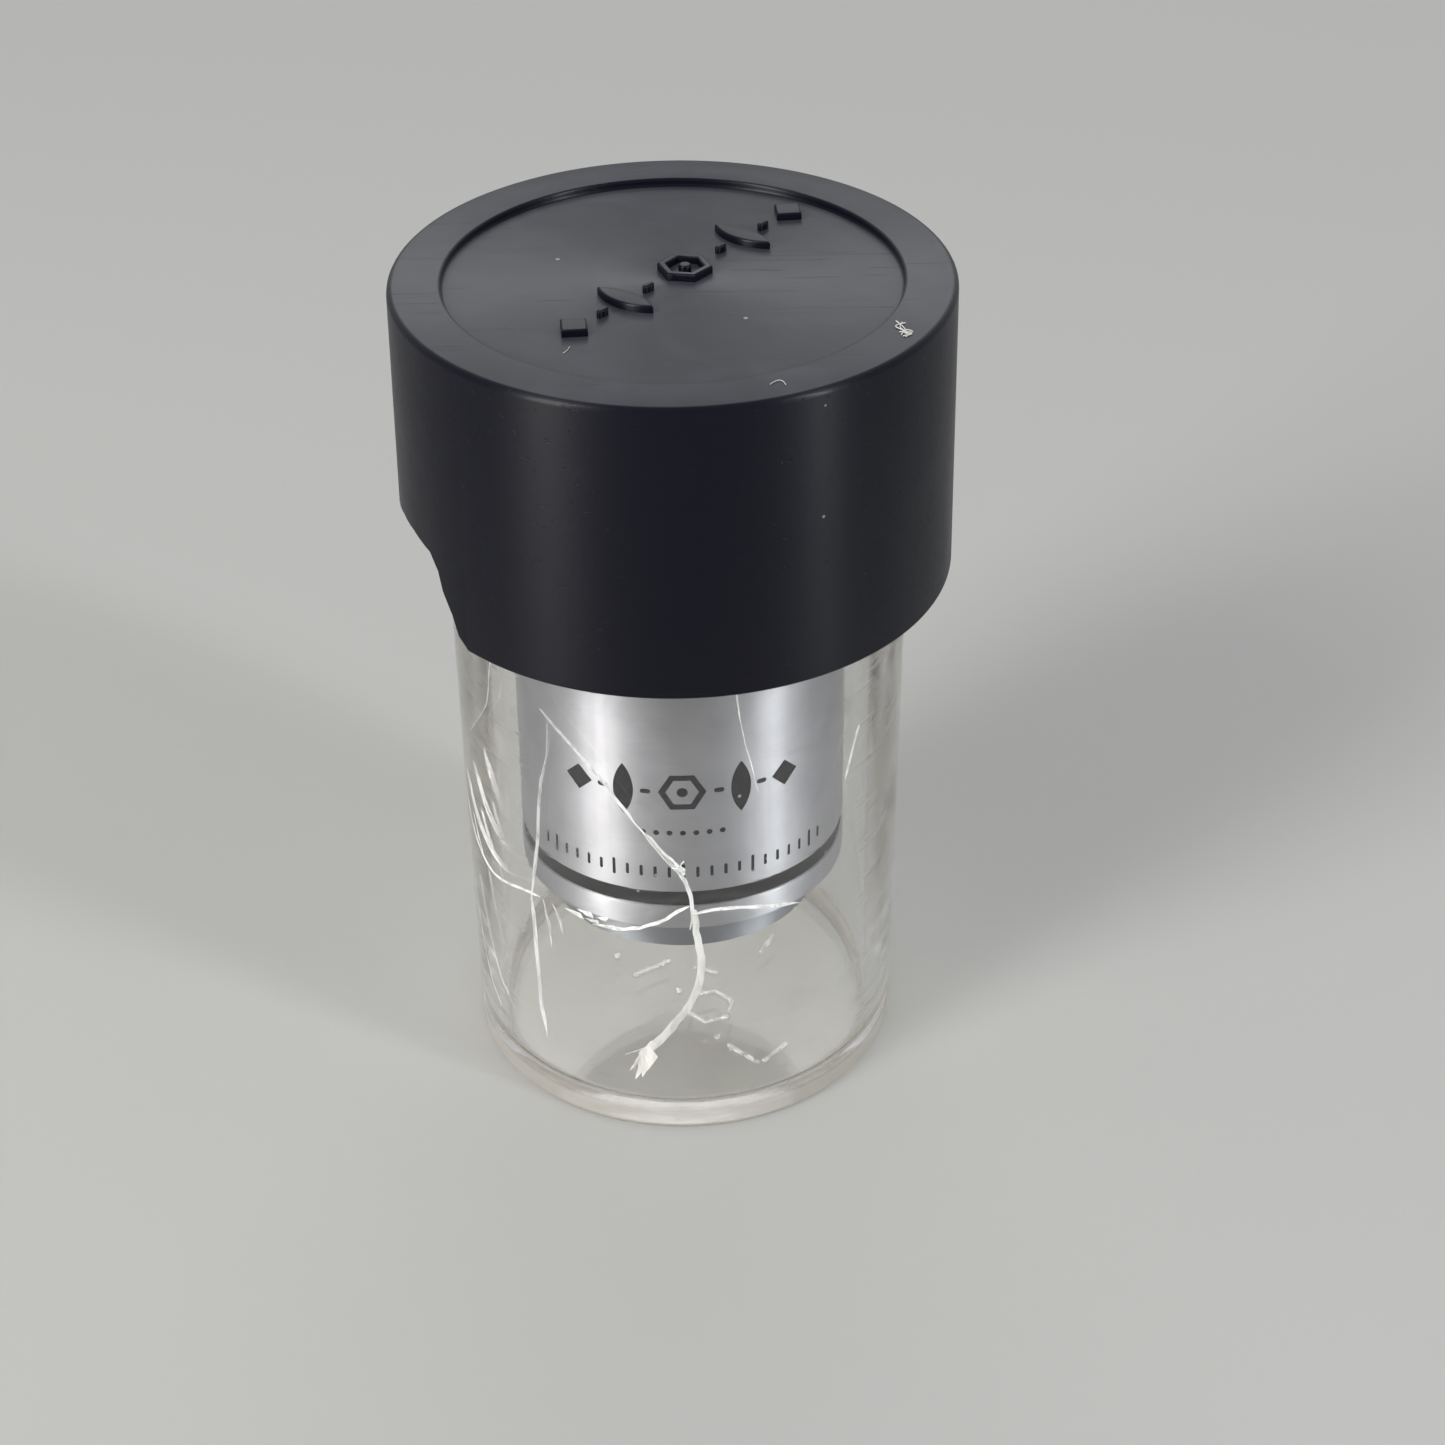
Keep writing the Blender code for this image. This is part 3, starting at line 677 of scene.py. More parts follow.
def optics_row(unit, height):
    """An optical bench as a diagram: a lens each side of an iris, a lamp and a screen, on a dashed axis."""
    shapes = [polygon(0, 0, 0.39 * height, 6), polygon(0, 0, 0.27 * height, 6), dot(0, 0, 0.09 * height)]
    for side in (-1, 1):
        shapes.append(biconvex(side * 4 * unit, 0, height, 0.34 * height))
        shapes.append(polygon(side * 7.3 * unit, 0, 0.25 * height, 4))
        for start, end in ((2.3, 2.65), (5.3, 5.65)):
            left, right = sorted((side * start * unit, side * end * unit))
            shapes.append(bar(left, 0, right, 0, 0.09 * height))
    return shapes


# %% From outlines to a solid
def curve_to_piece(name, curve):
    piece = bpy.data.objects.new(name, curve)
    bpy.context.scene.collection.objects.link(piece)
    only(piece)
    bpy.ops.object.convert(target="MESH")
    return tidy(bpy.context.active_object)


def relief(name, outlines, depth, edge):
    """Filled outlines with a depth, centred on z = 0, with edges bevelled by a 2D curve."""
    curve = bpy.data.curves.new(name, "CURVE")
    curve.dimensions = "2D"
    curve.fill_mode = "BOTH"
    curve.extrude = depth / 2 - edge
    curve.bevel_depth = edge
    curve.bevel_resolution = 2
    curve.offset = -edge
    for outline in outlines:
        spline = curve.splines.new("POLY")
        spline.points.add(len(outline) - 1)
        for point, (x, y) in zip(spline.points, outline):
            point.co = (x, y, 0, 1)
        spline.use_cyclic_u = True
    return curve_to_piece(name, curve)


def roll(piece, radius, strip):
    """Cuts a flat relief into strips and rolls it round the axis, its middle at the front."""
    only(piece)
    widths = [vertex.co.x for vertex in piece.data.vertices]
    bpy.ops.object.mode_set(mode="EDIT")
    for number in range(math.ceil(min(widths) / strip), math.floor(max(widths) / strip) + 1):
        bpy.ops.mesh.select_all(action="SELECT")
        bpy.ops.mesh.bisect(plane_co=(number * strip, 0, 0), plane_no=(1, 0, 0))
    bpy.ops.object.mode_set(mode="OBJECT")
    for vertex in piece.data.vertices:
        x, y, z = vertex.co
        vertex.co = ((radius + z) * math.sin(x / radius), -(radius + z) * math.cos(x / radius), y)
    return tidy(piece)


# %% [markdown]
# ## The cap
#
# The cap is a deep skirt with a shallow round recess in its top. Inside, a socket hangs from the roof
# and holds the lens. A corner of the skirt has snapped off, and the jar's thread shows in the gap. The
# break is cut with one solid, whose own finish is left on the faces that it makes. A crack runs up from
# the break, and it is a spike in the same outline.

# %% Cap
CHIP_ANGLE = 198
CHIP_DEPTH = 6.3 * MM
CHIP_OUTLINE = (  # along the skirt and up from its rim, in millimetres
    (8.5, -1.0), (8.3, 0.3), (7.5, 0.9), (6.9, 2.3), (5.9, 3.7), (5.4, 5.1), (4.4, 6.1), (1.7, 6.4),
    (-0.9, 6.3), (-3.2, 5.8), (-3.6, 7.8), (-3.3, 10.6), (-3.8, 7.8), (-3.7, 5.7), (-5.6, 4.9),
    (-7.4, 3.9), (-8.5, 2.5), (-9.7, 1.3), (-10.4, -1.0),
)


def chip_tool():
    """The missing corner: its outline seen from outside, pushed in through the skirt."""
    outline = [(along * MM, up * MM) for along, up in CHIP_OUTLINE]
    tool = relief("chip", [outline], CHIP_DEPTH, 0)
    settle_place(tool, turn=(90, 0, 90))
    middle = CAP_RIM_RADIUS + 0.3 * MM - CHIP_DEPTH / 2
    settle_place(coat(tool, BROKEN_PLASTIC), (middle, 0, CAP_RIM_Z))
    return settle_place(tool, turn=(0, 0, CHIP_ANGLE))


def make_cap():
    half_section = [
        (0, RECESS_Z, 0), (RECESS_RADIUS, RECESS_Z, RECESS_ROUND), (RECESS_RADIUS, CAP_FACE_Z, RECESS_ROUND),
        (CAP_TOP_RADIUS, CAP_FACE_Z, CAP_EDGE_ROUND), (CAP_RIM_RADIUS, CAP_RIM_Z, CAP_RIM_ROUND),
        (CAP_BORE_RADIUS, CAP_RIM_Z, CAP_RIM_ROUND), (CAP_BORE_RADIUS, CAP_ROOF_Z, CAP_EDGE_ROUND),
        (SOCKET_RADIUS, CAP_ROOF_Z, CAP_EDGE_ROUND), (SOCKET_RADIUS, SOCKET_MOUTH_Z, CAP_RIM_ROUND),
        (SOCKET_BORE_RADIUS, SOCKET_MOUTH_Z, CAP_RIM_ROUND), (SOCKET_BORE_RADIUS, CAP_ROOF_Z, 0),
        (0, CAP_ROOF_Z, 0),
    ]
    cap = coat(lathe("screw_cap", half_section, CASE_STEPS), BLACK_PLASTIC)
    ridge = helix(
        "cap_thread", CAP_BORE_RADIUS + THREAD_SINK, JAR_MOUTH_RADIUS + THREAD_CREST_GAP, CAP_THREAD_ANGLE,
        CAP_THREAD_Z, THREAD_PITCH, THREAD_TURNS, THREAD_ROOT, THREAD_CREST, THREAD_RUN_OUT,
    )
    combine(cap, ridge, "UNION")
    combine(cap, chip_tool())
    return deliver(cap, "cap", "black_plastic", "case_cap")


cap = make_cap()

# %% [markdown]
# The recess carries a raised mark that runs across it. Here it is a diagram of lenses on their axis,
# moulded with the cap.

# %% Mark on the cap
CAP_MARK_ANGLE = 50
CAP_MARK_HEIGHT = 0.55 * MM
cap_mark = relief("cap_mark", optics_row(1.6 * MM, 5 * MM), 2 * CAP_MARK_HEIGHT, 0.16 * MM)
settle_place(coat(cap_mark, BLACK_PLASTIC), (0.85 * MM, 1.6 * MM, RECESS_Z), (0, 0, CAP_MARK_ANGLE))
deliver(cap_mark, "cap", "black_plastic")

# %% [markdown]
# A tuft of lint and a few loose hairs lie on the cap. Each hair is a curve with a round bevel, made into
# a mesh before anything else is done to it. The cap's face lies a little low, so that the lint on it
# stays under the frame's top.


# %% Lint and hairs
def strands(name, paths, thickness):
    """Round strands along paths of (x, y, z) points, in millimetres."""
    curve = bpy.data.curves.new(name, "CURVE")
    curve.dimensions = "3D"
    curve.bevel_depth = thickness / 2
    curve.bevel_resolution = 1
    curve.use_fill_caps = True
    for path in paths:
        spline = curve.splines.new("NURBS")
        spline.points.add(len(path) - 1)
        for point, place in zip(spline.points, path):
            point.co = (*(value * MM for value in place), 1)
        spline.use_endpoint_u = True
        spline.order_u = 3
    return curve_to_piece(name, curve)


def lint():
    finish = Finish("lint")
    shade = finish.noise(1800, 3)
    finish.set("Base Color", finish.mix(shade, (0.42, 0.4, 0.37), (0.7, 0.69, 0.66)))
    finish.set("Roughness", 0.75 + 0.2 * shade)
    return finish.material


LINT = lint()
REST = 1000 * CAP_FACE_Z + 0.07
DEEP_REST = 1000 * RECESS_Z + 0.04
TUFT = [
    ((15.0, -9.9, REST), (15.3, -9.3, REST - 0.02), (14.9, -8.8, REST), (15.2, -8.1, REST)),
    ((15.7, -9.8, REST), (15.2, -9.6, REST - 0.02), (15.4, -9.0, REST), (14.8, -7.9, REST)),
    ((14.9, -9.5, REST), (15.6, -9.4, REST - 0.03), (15.8, -9.9, REST), (15.1, -10.1, REST)),
    ((15.3, -10.2, REST), (15.6, -9.6, REST - 0.02), (15.1, -9.2, REST), (14.5, -8.5, REST),
     (15.4, -8.2, REST)),
    ((15.8, -9.5, REST), (15.5, -9.1, REST), (15.0, -9.4, REST - 0.02), (15.5, -9.9, REST)),
]
tuft = strands("lint_tuft", TUFT, 0.09 * MM)
deliver(coat(tuft, LINT), "cap", "black_plastic", smooth_below=60)
HAIRS = [
    ((6.1, -16.6, REST), (6.5, -16.0, REST), (7.0, -16.1, REST), (7.1, -16.7, REST)),
    ((-7.3, -10.6, DEEP_REST), (-7.0, -10.2, DEEP_REST + 0.01), (-6.9, -9.7, DEEP_REST)),
]
hairs = strands("loose_hairs", HAIRS, 0.05 * MM)
deliver(coat(hairs, LINT), "cap", "black_plastic", smooth_below=60)

# %% [markdown]
# ## The barrel
#
# A satin tube with small bevels, a painted groove near its lower edge, three holes for grub screws at
# the top, and engraved marks filled with the same paint.

# %% Barrel
BARREL_BORE_RADIUS = 11.25 * MM
BARREL_BEVEL = 0.25 * MM
BAND_Z = BARREL_Z + 2.2 * MM
BAND_TOP_Z = BAND_Z + 1.35 * MM
BAND_DEPTH = 0.2 * MM
ENGRAVING_DEPTH = 0.12 * MM
GRUB_HOLE_RADIUS = 1.3 * MM
GRUB_Z = BARREL_TOP_Z - 4.2 * MM


def engraved_shapes():
    """The diagram, a row of dots under it, and a scale of short strokes above the band."""
    shapes = []
    for outline in optics_row(1.06 * MM, 4.4 * MM):
        shapes.append([(x, y + 29.6 * MM) for x, y in outline])
    for number in range(-3, 4):
        shapes.append(dot(number * 0.95 * MM, 26 * MM, 0.22 * MM, 12))
    for number in range(-11, 12):
        height = 0.62 * MM if number % 5 == 0 else 0.36 * MM
        x = number * 1.02 * MM
        shapes.append(bar(x, 22.45 * MM - height, x, 22.45 * MM + height, 0.24 * MM))
    return shapes


def make_barrel():
    half_section = [
        (BARREL_BORE_RADIUS, BARREL_TOP_Z, 0), (BARREL_RADIUS - BARREL_BEVEL, BARREL_TOP_Z, 0),
        (BARREL_RADIUS, BARREL_TOP_Z - BARREL_BEVEL, 0), (BARREL_RADIUS, BAND_TOP_Z, 0.04 * MM),
        (BARREL_RADIUS - BAND_DEPTH, BAND_TOP_Z, 0.04 * MM), (BARREL_RADIUS - BAND_DEPTH, BAND_Z, 0.04 * MM),
        (BARREL_RADIUS, BAND_Z, 0.04 * MM), (BARREL_RADIUS, BARREL_Z + BARREL_BEVEL, 0),
        (BARREL_RADIUS - BARREL_BEVEL, BARREL_Z, 0), (BARREL_BORE_RADIUS, BARREL_Z, 0),
    ]
    barrel = coat(lathe("lens_barrel_shell", half_section, LENS_STEPS), SATIN_METAL, ENGRAVING_PAINT)
    for face in barrel.data.polygons:
        radius = math.hypot(face.center.x, face.center.y)
        in_groove = BAND_Z < face.center.z < BAND_TOP_Z and radius > BARREL_BORE_RADIUS + MM
        face.material_index = 1 if in_groove and radius < BARREL_RADIUS - 0.02 * MM else 0
    for number in range(3):
        bpy.ops.object.select_all(action="DESELECT")
        bpy.ops.mesh.primitive_cylinder_add(vertices=32, radius=GRUB_HOLE_RADIUS, depth=4 * MM)
        hole = bpy.context.active_object
        angle = 30 + 120 * number
        settle_place(hole, (BARREL_RADIUS, 0, GRUB_Z), (0, 90, 0))
        combine(barrel, settle_place(hole, turn=(0, 0, angle)))
    marks = roll(relief("marks", engraved_shapes(), 2 * ENGRAVING_DEPTH, 0), BARREL_RADIUS, 0.4 * MM)
    combine(barrel, coat(marks, ENGRAVING_PAINT))
    return deliver(barrel, "lens_barrel", "satin_metal", "outer_barrel")


barrel = make_barrel()

# %% [markdown]
# ## Cracks in the jar
#
# A crack in clear plastic is a thin gap that runs through the wall, and it shows as a white line or,
# where it leans, as a ribbon. Each one starts as a flat grid that is laid along its path, crosses
# the wall from the outer face to the inner one, and gets a hair's thickness.

# %% Finish of a crack
def crack_white(name, clearest, densest, colour):
    finish = Finish(name, ior=1.3)
    streaks = finish.noise(1500, 3, (1, 1, 0.3), distortion=0.5)
    finish.set("Base Color", finish.mix(streaks, tuple(0.85 * part for part in colour), colour))
    finish.set("Roughness", 0.25 + 0.3 * streaks)
    finish.set("Alpha", clearest + (densest - clearest) * finish.band(streaks, 0.3, 0.6))
    finish.bump(streaks, 0.00004)
    return finish.material


CRACK_WHITE = crack_white("crack_white", 0.55, 1.0, (0.95, 0.95, 0.93))
CRACK_CREAM = crack_white("crack_cream", 0.85, 1.0, (0.95, 0.93, 0.89))
MARK_WHITE = crack_white("mark_white", 0.08, 0.45, (0.9, 0.89, 0.87))
CRACK_THICKNESS = 0.03 * MM
CRACK_MARGIN = 0.05 * MM
CRACK_SEED = 5
noise.seed_set(CRACK_SEED)  # noise starts at random until it gets a seed


# %% Cracks along their paths
def flowing(points, share):
    """A point on the smooth curve through these points, with share from 0 to 1 along it."""
    spans = len(points) - 1
    span = min(int(share * spans), spans - 1)
    t = share * spans - span
    before, start, end, after = (Vector(points[max(0, min(spans, span + k))]) for k in (-1, 0, 1, 2))
    turn_in, turn_out = (end - before) / 2, (after - start) / 2
    return (
        start * (2 * t**3 - 3 * t**2 + 1) + turn_in * (t**3 - 2 * t**2 + t)
        + end * (3 * t**2 - 2 * t**3) + turn_out * (t**3 - t**2)
    )


def crack(name, path, lean_start, lean_end, finish, taper=0.15, deep=1.0):
    """A crack along (angle, height) points on the jar's outside. Angles are in degrees, from the front
    towards +X, and heights in millimetres. Its inner edge leans by (along the wall, up) millimetres, from
    lean_start at the path's start to lean_end at its end. Deep is the share of the wall that it crosses,
    and its ends narrow over the share taper of its length."""
    steps = 12 * (len(path) - 1)
    bpy.ops.object.select_all(action="DESELECT")
    bpy.ops.mesh.primitive_grid_add(x_subdivisions=steps, y_subdivisions=4, size=1)
    piece = bpy.context.active_object
    piece.name = name
    seed = Vector((3.7 * len(path), path[0][0], path[0][1]))
    for vertex in piece.data.vertices:
        along, through = vertex.co.x + 0.5, vertex.co.y + 0.5
        angle, height = flowing(path, along)
        through *= min(1, (along + 0.02) / taper, (1.02 - along) / taper)
        lean_along, lean_up = (a + (b - a) * along for a, b in zip(lean_start, lean_end))
        wobble = noise.noise_vector(seed + Vector((along * steps * 0.2, through * 0.5, 0))) * 0.08 * MM
        z = height * MM + through * lean_up * MM + wobble.z
        wall_radius = JAR_BASE_RADIUS + (JAR_MOUTH_RADIUS - JAR_BASE_RADIUS) * z / JAR_HEIGHT
        radius = wall_radius - CRACK_MARGIN - through * deep * (JAR_WALL - 2 * CRACK_MARGIN)
        turn = math.radians(angle) + (through * lean_along * MM + wobble.x) / radius
        vertex.co = (radius * math.sin(turn), -radius * math.cos(turn), z)
    solidify = piece.modifiers.new("Thickness", "SOLIDIFY")
    solidify.thickness = CRACK_THICKNESS
    solidify.offset = 0
    only(piece)
    bpy.ops.object.modifier_apply(modifier=solidify.name)
    return coat(tidy(piece), finish)


CRACKS = {
    "crack_long_top": (((-36.5, 37.2), (-33, 36.2), (-29.2, 35.2), (-24.6, 33.9), (-20.4, 32.5), (-15, 30.3),
                        (-10.6, 28.6)), (0.0, 0.03), (0.05, 0.11), 0.3),
    "crack_long": (((-11.6, 29), (-4.6, 26), (-1.6, 24.8), (0.3, 23.6), (1.5, 21.7), (1.3, 19.6)),
                   (0.06, 0.13), (0.3, 0.05), 0.35),
    "crack_branch": (((-9, 28.2), (-5.6, 26.8), (-2.2, 25.6), (-0.8, 25.2)), (0.0, 0.1), (0.0, 0.14), 0.3),
    "crack_upright": (((-34.2, 36.2), (-35.4, 33.2), (-37.7, 30.8), (-38.7, 28.9), (-40.7, 24.1),
                       (-43.5, 19.1)), (0.05, 0.0), (0.14, 0), 0.3),
    "crack_upright_low": (((-43.4, 19.8), (-43.2, 16), (-42.9, 13.5), (-42.6, 9.6), (-40.6, 6.2)),
                          (0.2, 0), (0.16, 0), 0.3),
    "crack_ring_left": (((-84, 24), (-75, 20.8), (-61.5, 18.9), (-47.2, 19.5), (-40, 19.9)),
                        (0, 0.0), (0, 0.12), 0.3),
    "crack_ring_front": (((-24, 19.2), (-17, 19.1), (-11.3, 19.5), (-6, 20.2), (-3.6, 20.7), (1.3, 21.8)),
                         (0, 0.04), (0.08, 0.2), 0.4),
    "crack_ring_right": (((2.2, 21.0), (8, 21.2), (14.1, 21.1), (22, 20.6), (30.8, 20.1)),
                         (0, 0.02), (0, 0.08), 0.4),
    "crack_left_edge": (((-78, 15.4), (-74, 11.6), (-67.1, 7.4), (-60.7, 5.6)), (0.0, 0), (0.0, 0), 0.1),
    "crack_left_glint": (((-72, 22.3), (-69, 20.7), (-66, 19.6)), (0.0, 0), (0.0, 0), 0.16),
    "crack_under_cap": (((-50, 44), (-52, 41), (-54.4, 38), (-56, 35.6), (-59.4, 33.6), (-68, 30.6)),
                        (0.02, 0), (0.02, 0), 0.12),
    "crack_short": (((13.2, 41.5), (14, 38.6), (15.5, 36), (18.8, 31.4)), (0.0, 0), (0.04, 0), 0.5),
    "crack_right_edge": (((50.5, 33.4), (48.9, 32.2), (45.3, 29.3)), (0.02, 0), (0.02, 0), 0.3),
}
for crack_name, (crack_path, lean_start, lean_end, deep) in CRACKS.items():
    piece = crack(crack_name, crack_path, lean_start, lean_end, CRACK_WHITE, deep=deep)
    deliver(piece, "jar", "clear_plastic")
ribbon_path = ((1.9, 21.4), (2.1, 19.4), (2.8, 17.8), (3.2, 16.4), (2.3, 14.2), (-0.6, 12.2), (-3.6, 10.9),
               (-7.2, 9.4), (-12, 7.7))
ribbon = crack("crack_ribbon", ribbon_path, (0.42, 0.08), (0.78, -0.25), CRACK_CREAM, taper=0.05, deep=0.35)
deliver(ribbon, "jar", "clear_plastic")

# %% [markdown]
# The long crack ends low on the wall in a spray of splinters, and the ring crack has a few more where
# the upright one crosses it. Each splinter is a short crack of its own.

# %% Splinters
SPRAY_PLACE = (-11.6, 8.0)
SPLINTERS = [  # where each starts, as an angle and a height, how it runs from there, and its lean
    (SPRAY_PLACE, (-3.8, -2.4), 0.7), (SPRAY_PLACE, (-2.4, -3.2), 0.8), (SPRAY_PLACE, (-0.5, -2.9), 0.7),
    (SPRAY_PLACE, (1.4, -2.0), 0.6), (SPRAY_PLACE, (-4.9, -0.9), 0.6), ((-9.5, 8.8), (-3.4, -1.4), 0.8),
    ((-10.4, 8.3), (-1.2, -2.8), 0.9), ((-36, 19.9), (3.2, -2.6), 0.12), ((-39, 19.8), (2.2, -4.2), 0.12),
    ((-32, 19.9), (5.5, -0.5), 0.35), ((-28.5, 20.2), (4.6, -0.5), 0.45), ((-26, 19.5), (3.6, -0.2), 0.35),
    ((-23, 19.9), (2.6, -0.2), 0.45), ((-21.4, 19.3), (3.4, -0.2), 0.3), ((-2.4, 25.6), (2.6, -1.0), 0.4),
    ((-3.4, 25.3), (2.4, -0.2), 0.3), ((-1.6, 25.2), (1.6, 0.7), 0.25),
]
LOW_SPLINTERS = 7  # the first ones, at the low end of the long crack
for number, ((angle, height), (turn, rise), width) in enumerate(SPLINTERS, start=1):
    ends = ((angle, height), (angle + turn * 0.5, height + rise * 0.55), (angle + turn, height + rise))
    lean = (width, 0.3 * width)
    finish = CRACK_CREAM if number <= LOW_SPLINTERS else CRACK_WHITE
    piece = crack(f"splinter_{number}", ends, lean, lean, finish, taper=0.5, deep=0.3)
    deliver(piece, "jar", "clear_plastic")

# %% [markdown]
# ## The mark in the jar's floor
#
# The floor carries a moulded mark as well. Seen from above it is only a set of pale outlines: here a
# hexagon, bars, dots and a chevron, as a mould maker's own marks are.

# %% Marks moulded in the floor
FLOOR_MARK_HEIGHT = 0.1 * MM


def floor_shapes():
    hexagon = [polygon(1.9 * MM, -3.7 * MM, radius * MM, 6, 0.3) for radius in (2.0, 1.72)]
    bars = [bar(x0 * MM, y0 * MM, x1 * MM, y1 * MM, 0.3 * MM) for x0, y0, x1, y1 in (
        (-4.2, 0.1, -1.4, 1.7), (0.9, 0.9, 2.5, 0.2), (3.3, -8.3, 5.4, -10.2), (5.9, -10, 7.6, -8.2),
        (6.4, 2.6, 7.6, 4.4),
    )]
    dots = [dot(x * MM, y * MM, 0.26 * MM) for x, y in ((-5.7, 2.4), (2.4, -7.2), (-0.6, -1.8))]
    return hexagon + bars + dots


floor_mark = relief("floor_mark", floor_shapes(), 2 * FLOOR_MARK_HEIGHT, 0.04 * MM)
settle_place(coat(floor_mark, MARK_WHITE), (0, 0, JAR_FLOOR + 0.02 * MM + FLOOR_MARK_HEIGHT))
deliver(floor_mark, "jar", "clear_plastic")

# %% [markdown]
# ## The nose ring, the mount ring and the seals
#
# The nose ring closes the barrel's lower end round the front glass. The mount ring at the top has the
# knurled flange and the fine thread that screws into a microscope, or here into the cap.

# %% Nose ring
NOSE_RADIUS = SPIGOT_RADIUS - 0.15 * MM
NOSE_FLOOR_Z = NOSE_Z + 1.6 * MM
STACK_BORE_RADIUS = SPIGOT_RADIUS - 2 * MM
nose_section = [
    (STACK_BORE_RADIUS, NOSE_TOP_Z, 0), (SPIGOT_RADIUS, NOSE_TOP_Z, 0), (SPIGOT_RADIUS, BARREL_Z, 0),
    (NOSE_RADIUS, BARREL_Z - 0.15 * MM, 0.05 * MM), (NOSE_RADIUS, NOSE_Z + 0.3 * MM, 0.08 * MM),
    (NOSE_RADIUS - 0.3 * MM, NOSE_Z, 0.08 * MM), (8.6 * MM, NOSE_Z, 0), (8.5 * MM, NOSE_Z + 0.12 * MM, 0),
    (8.1 * MM, NOSE_Z + 0.12 * MM, 0), (8 * MM, NOSE_Z, 0), (6.8 * MM, NOSE_Z, 0.1 * MM),
    (5.2 * MM, NOSE_FLOOR_Z, 0), (STACK_BORE_RADIUS, NOSE_FLOOR_Z, 0),
]
nose = coat(lathe("nose_shell", nose_section, LENS_STEPS), NOSE_METAL)
deliver(nose, "lens_barrel", "satin_metal", "nose_ring")

# %% Mount ring with a knurled flange and a fine thread
SHOULDER_Z = 55.3 * MM
FLANGE_Z = 50.5 * MM
SHANK_RADIUS = 9.76 * MM
MOUNT_BORE_RADIUS = 8 * MM
KNURL_DEPTH = 0.22 * MM
LENS_PITCH = 25.4 * MM / 36


def make_mount():
    knurl_low, knurl_high = FLANGE_Z + 0.9 * MM, SHOULDER_Z - 0.9 * MM
    ledge_z = MOUNT_SPIGOT_Z + 1.2 * MM
    half_section = [
        (MOUNT_BORE_RADIUS, SHANK_TOP_Z, 0.1 * MM), (SHANK_RADIUS, SHANK_TOP_Z, 0.2 * MM),
        (SHANK_RADIUS, SHOULDER_Z + 0.5 * MM, 0), (SHANK_RADIUS - 0.2 * MM, SHOULDER_Z + 0.45 * MM, 0),
        (SHANK_RADIUS - 0.2 * MM, SHOULDER_Z, 0),
        (FLANGE_RADIUS, SHOULDER_Z, 0.2 * MM), (FLANGE_RADIUS, knurl_high, 0), (FLANGE_RADIUS, knurl_low, 0),
        (FLANGE_RADIUS, FLANGE_Z, 0.2 * MM), (SPIGOT_RADIUS, FLANGE_Z, 0), (SPIGOT_RADIUS, MOUNT_SPIGOT_Z, 0),
        (MOUNT_BORE_RADIUS - 0.8 * MM, MOUNT_SPIGOT_Z, 0), (MOUNT_BORE_RADIUS - 0.8 * MM, ledge_z, 0),
        (MOUNT_BORE_RADIUS, ledge_z, 0),
    ]
    mount = coat(lathe("mount_shell", half_section, LENS_STEPS), BRIGHT_STEEL)
    bpy.ops.object.mode_set(mode="EDIT")
    bpy.ops.mesh.select_all(action="DESELECT")
    bpy.ops.object.mode_set(mode="OBJECT")
    for face in mount.data.polygons:
        column = int((math.atan2(face.center.y, face.center.x) % math.tau) / math.tau * LENS_STEPS)
        on_flange = math.hypot(face.center.x, face.center.y) > FLANGE_RADIUS - 0.1 * MM
        face.select = on_flange and knurl_low < face.center.z < knurl_high and column % 2 == 0
    bpy.ops.object.mode_set(mode="EDIT")
    bpy.ops.mesh.select_mode(type="FACE")
    bpy.ops.mesh.inset(thickness=0.04 * MM, depth=-KNURL_DEPTH, use_individual=True)
    bpy.ops.mesh.select_mode(type="VERT")
    bpy.ops.object.mode_set(mode="OBJECT")
    thread = helix(
        "lens_thread", SHANK_RADIUS - 0.1 * MM, SHANK_RADIUS + 0.27 * MM, 0, SHOULDER_Z + 0.95 * MM,
        LENS_PITCH, 5, 0.6 * MM, 0.08 * MM, 30,
    )
    combine(mount, thread, "UNION")
    return deliver(mount, "lens_barrel", "bright_steel", "mount_ring", smooth_below=25)


mount = make_mount()

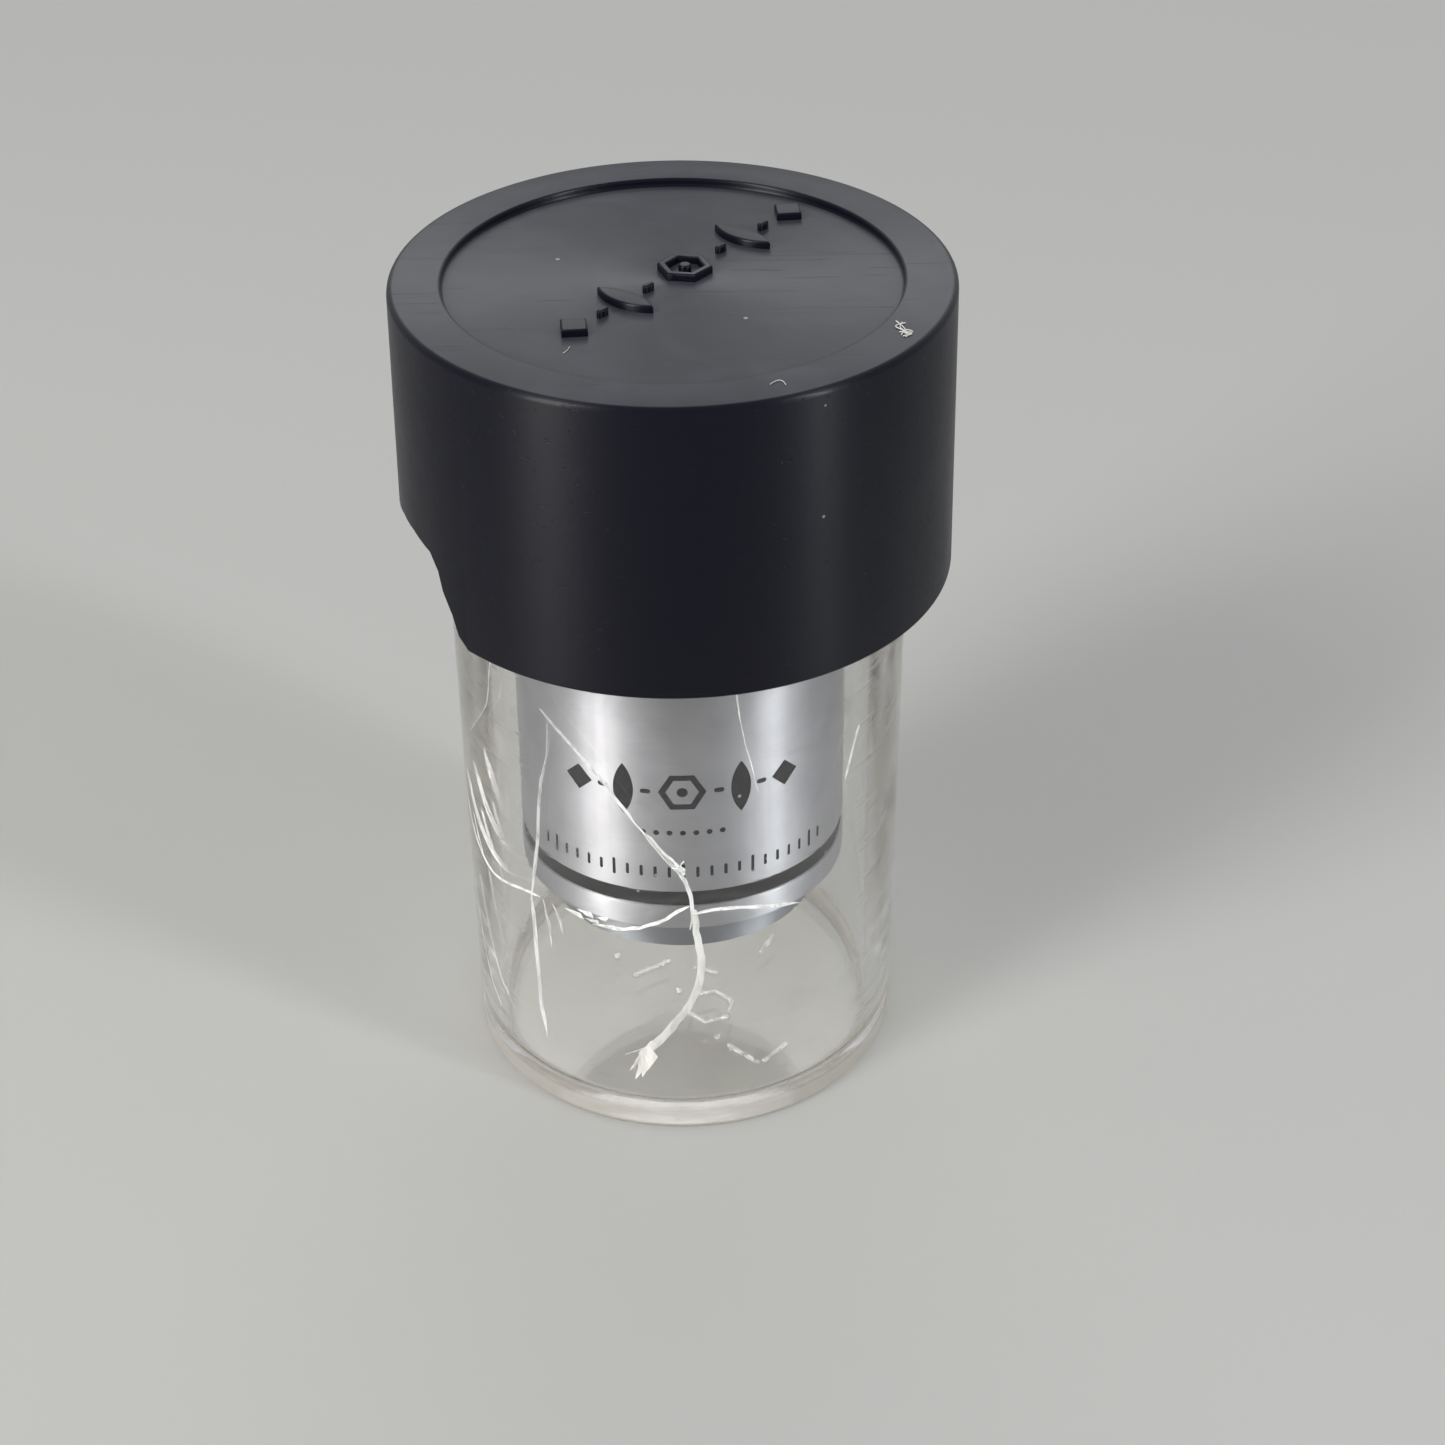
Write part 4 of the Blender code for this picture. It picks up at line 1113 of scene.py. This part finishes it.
# %% Liner and washer
liner_section = [
    (SOCKET_RADIUS + 0.6 * MM, LINER_TOP_Z, 0.15 * MM), (LINER_RADIUS, LINER_TOP_Z, 0.15 * MM),
    (LINER_RADIUS, LINER_Z, 0.15 * MM), (SOCKET_RADIUS + 0.6 * MM, LINER_Z, 0.15 * MM),
]
liner = coat(lathe("foam_liner", liner_section, LENS_STEPS), LINER_FOAM)
deliver(liner, "liner", "liner_foam", "sealing_liner")
washer_section = [
    (SOCKET_BORE_RADIUS + 0.3 * MM, WASHER_TOP_Z, 0.08 * MM), (WASHER_RADIUS, WASHER_TOP_Z, 0.08 * MM),
    (WASHER_RADIUS, WASHER_Z, 0.08 * MM), (SOCKET_BORE_RADIUS + 0.3 * MM, WASHER_Z, 0.08 * MM),
]
washer = coat(lathe("fibre_washer", washer_section, LENS_STEPS), RED_FIBRE)
deliver(washer, "washer", "fibre", "seat_washer")

# %% [markdown]
# ## Light
#
# A tall soft window on the left makes the bright stripe on the barrel and throws the shadow to the
# right. A weaker one on the right gives the second stripe. A wide one far behind greys the cap's top,
# and the pale surroundings do the rest. Light that is guided along the clear wall turns many times
# before it leaves, so it may bounce more often.

# %% Floor, lamps and surroundings
bpy.ops.object.select_all(action="DESELECT")
bpy.ops.mesh.primitive_plane_add(size=4)
floor = bpy.context.active_object
floor.name = "floor"
floor_finish = Finish("pale_floor")
floor_finish.set("Base Color", (0.436, 0.43, 0.408))
floor_finish.set("Roughness", 0.9)
floor.data.materials.append(floor_finish.material)


def lamp(name, place, target, size, power, colour):
    light = bpy.data.lights.new(name, "AREA")
    light.shape = "RECTANGLE"
    light.size, light.size_y = size
    light.energy = power
    light.color = colour
    obj = bpy.data.objects.new(name, light)
    obj.location = place
    obj.rotation_euler = (Vector(target) - Vector(place)).to_track_quat("-Z", "Y").to_euler()
    bpy.context.scene.collection.objects.link(obj)


MIDDLE = (0, 0, 0.03)
lamp("window_left", (-0.445, -0.375, 0.32), MIDDLE, (0.18, 0.6), 4.1, (1.0, 0.99, 0.98))
lamp("ceiling_back", (0.05, 0.85, 0.62), MIDDLE, (0.9, 0.5), 2.4, (1.0, 1.0, 1.0))
lamp("window_right", (0.53, -0.35, 0.3), MIDDLE, (0.07, 0.56), 2.6, (0.93, 0.97, 1.0))
world = bpy.data.worlds.new("surroundings")
world.use_nodes = True
world.node_tree.nodes["Background"].inputs["Color"].default_value = (0.93, 0.96, 1.0, 1.0)
world.node_tree.nodes["Background"].inputs["Strength"].default_value = 0.53
bpy.context.scene.world = world
bpy.context.scene.view_settings.view_transform = "Standard"
bpy.context.scene.cycles.max_bounces = 48
bpy.context.scene.cycles.glossy_bounces = 32
bpy.context.scene.cycles.transmission_bounces = 48
print("three lamps and", world.name)
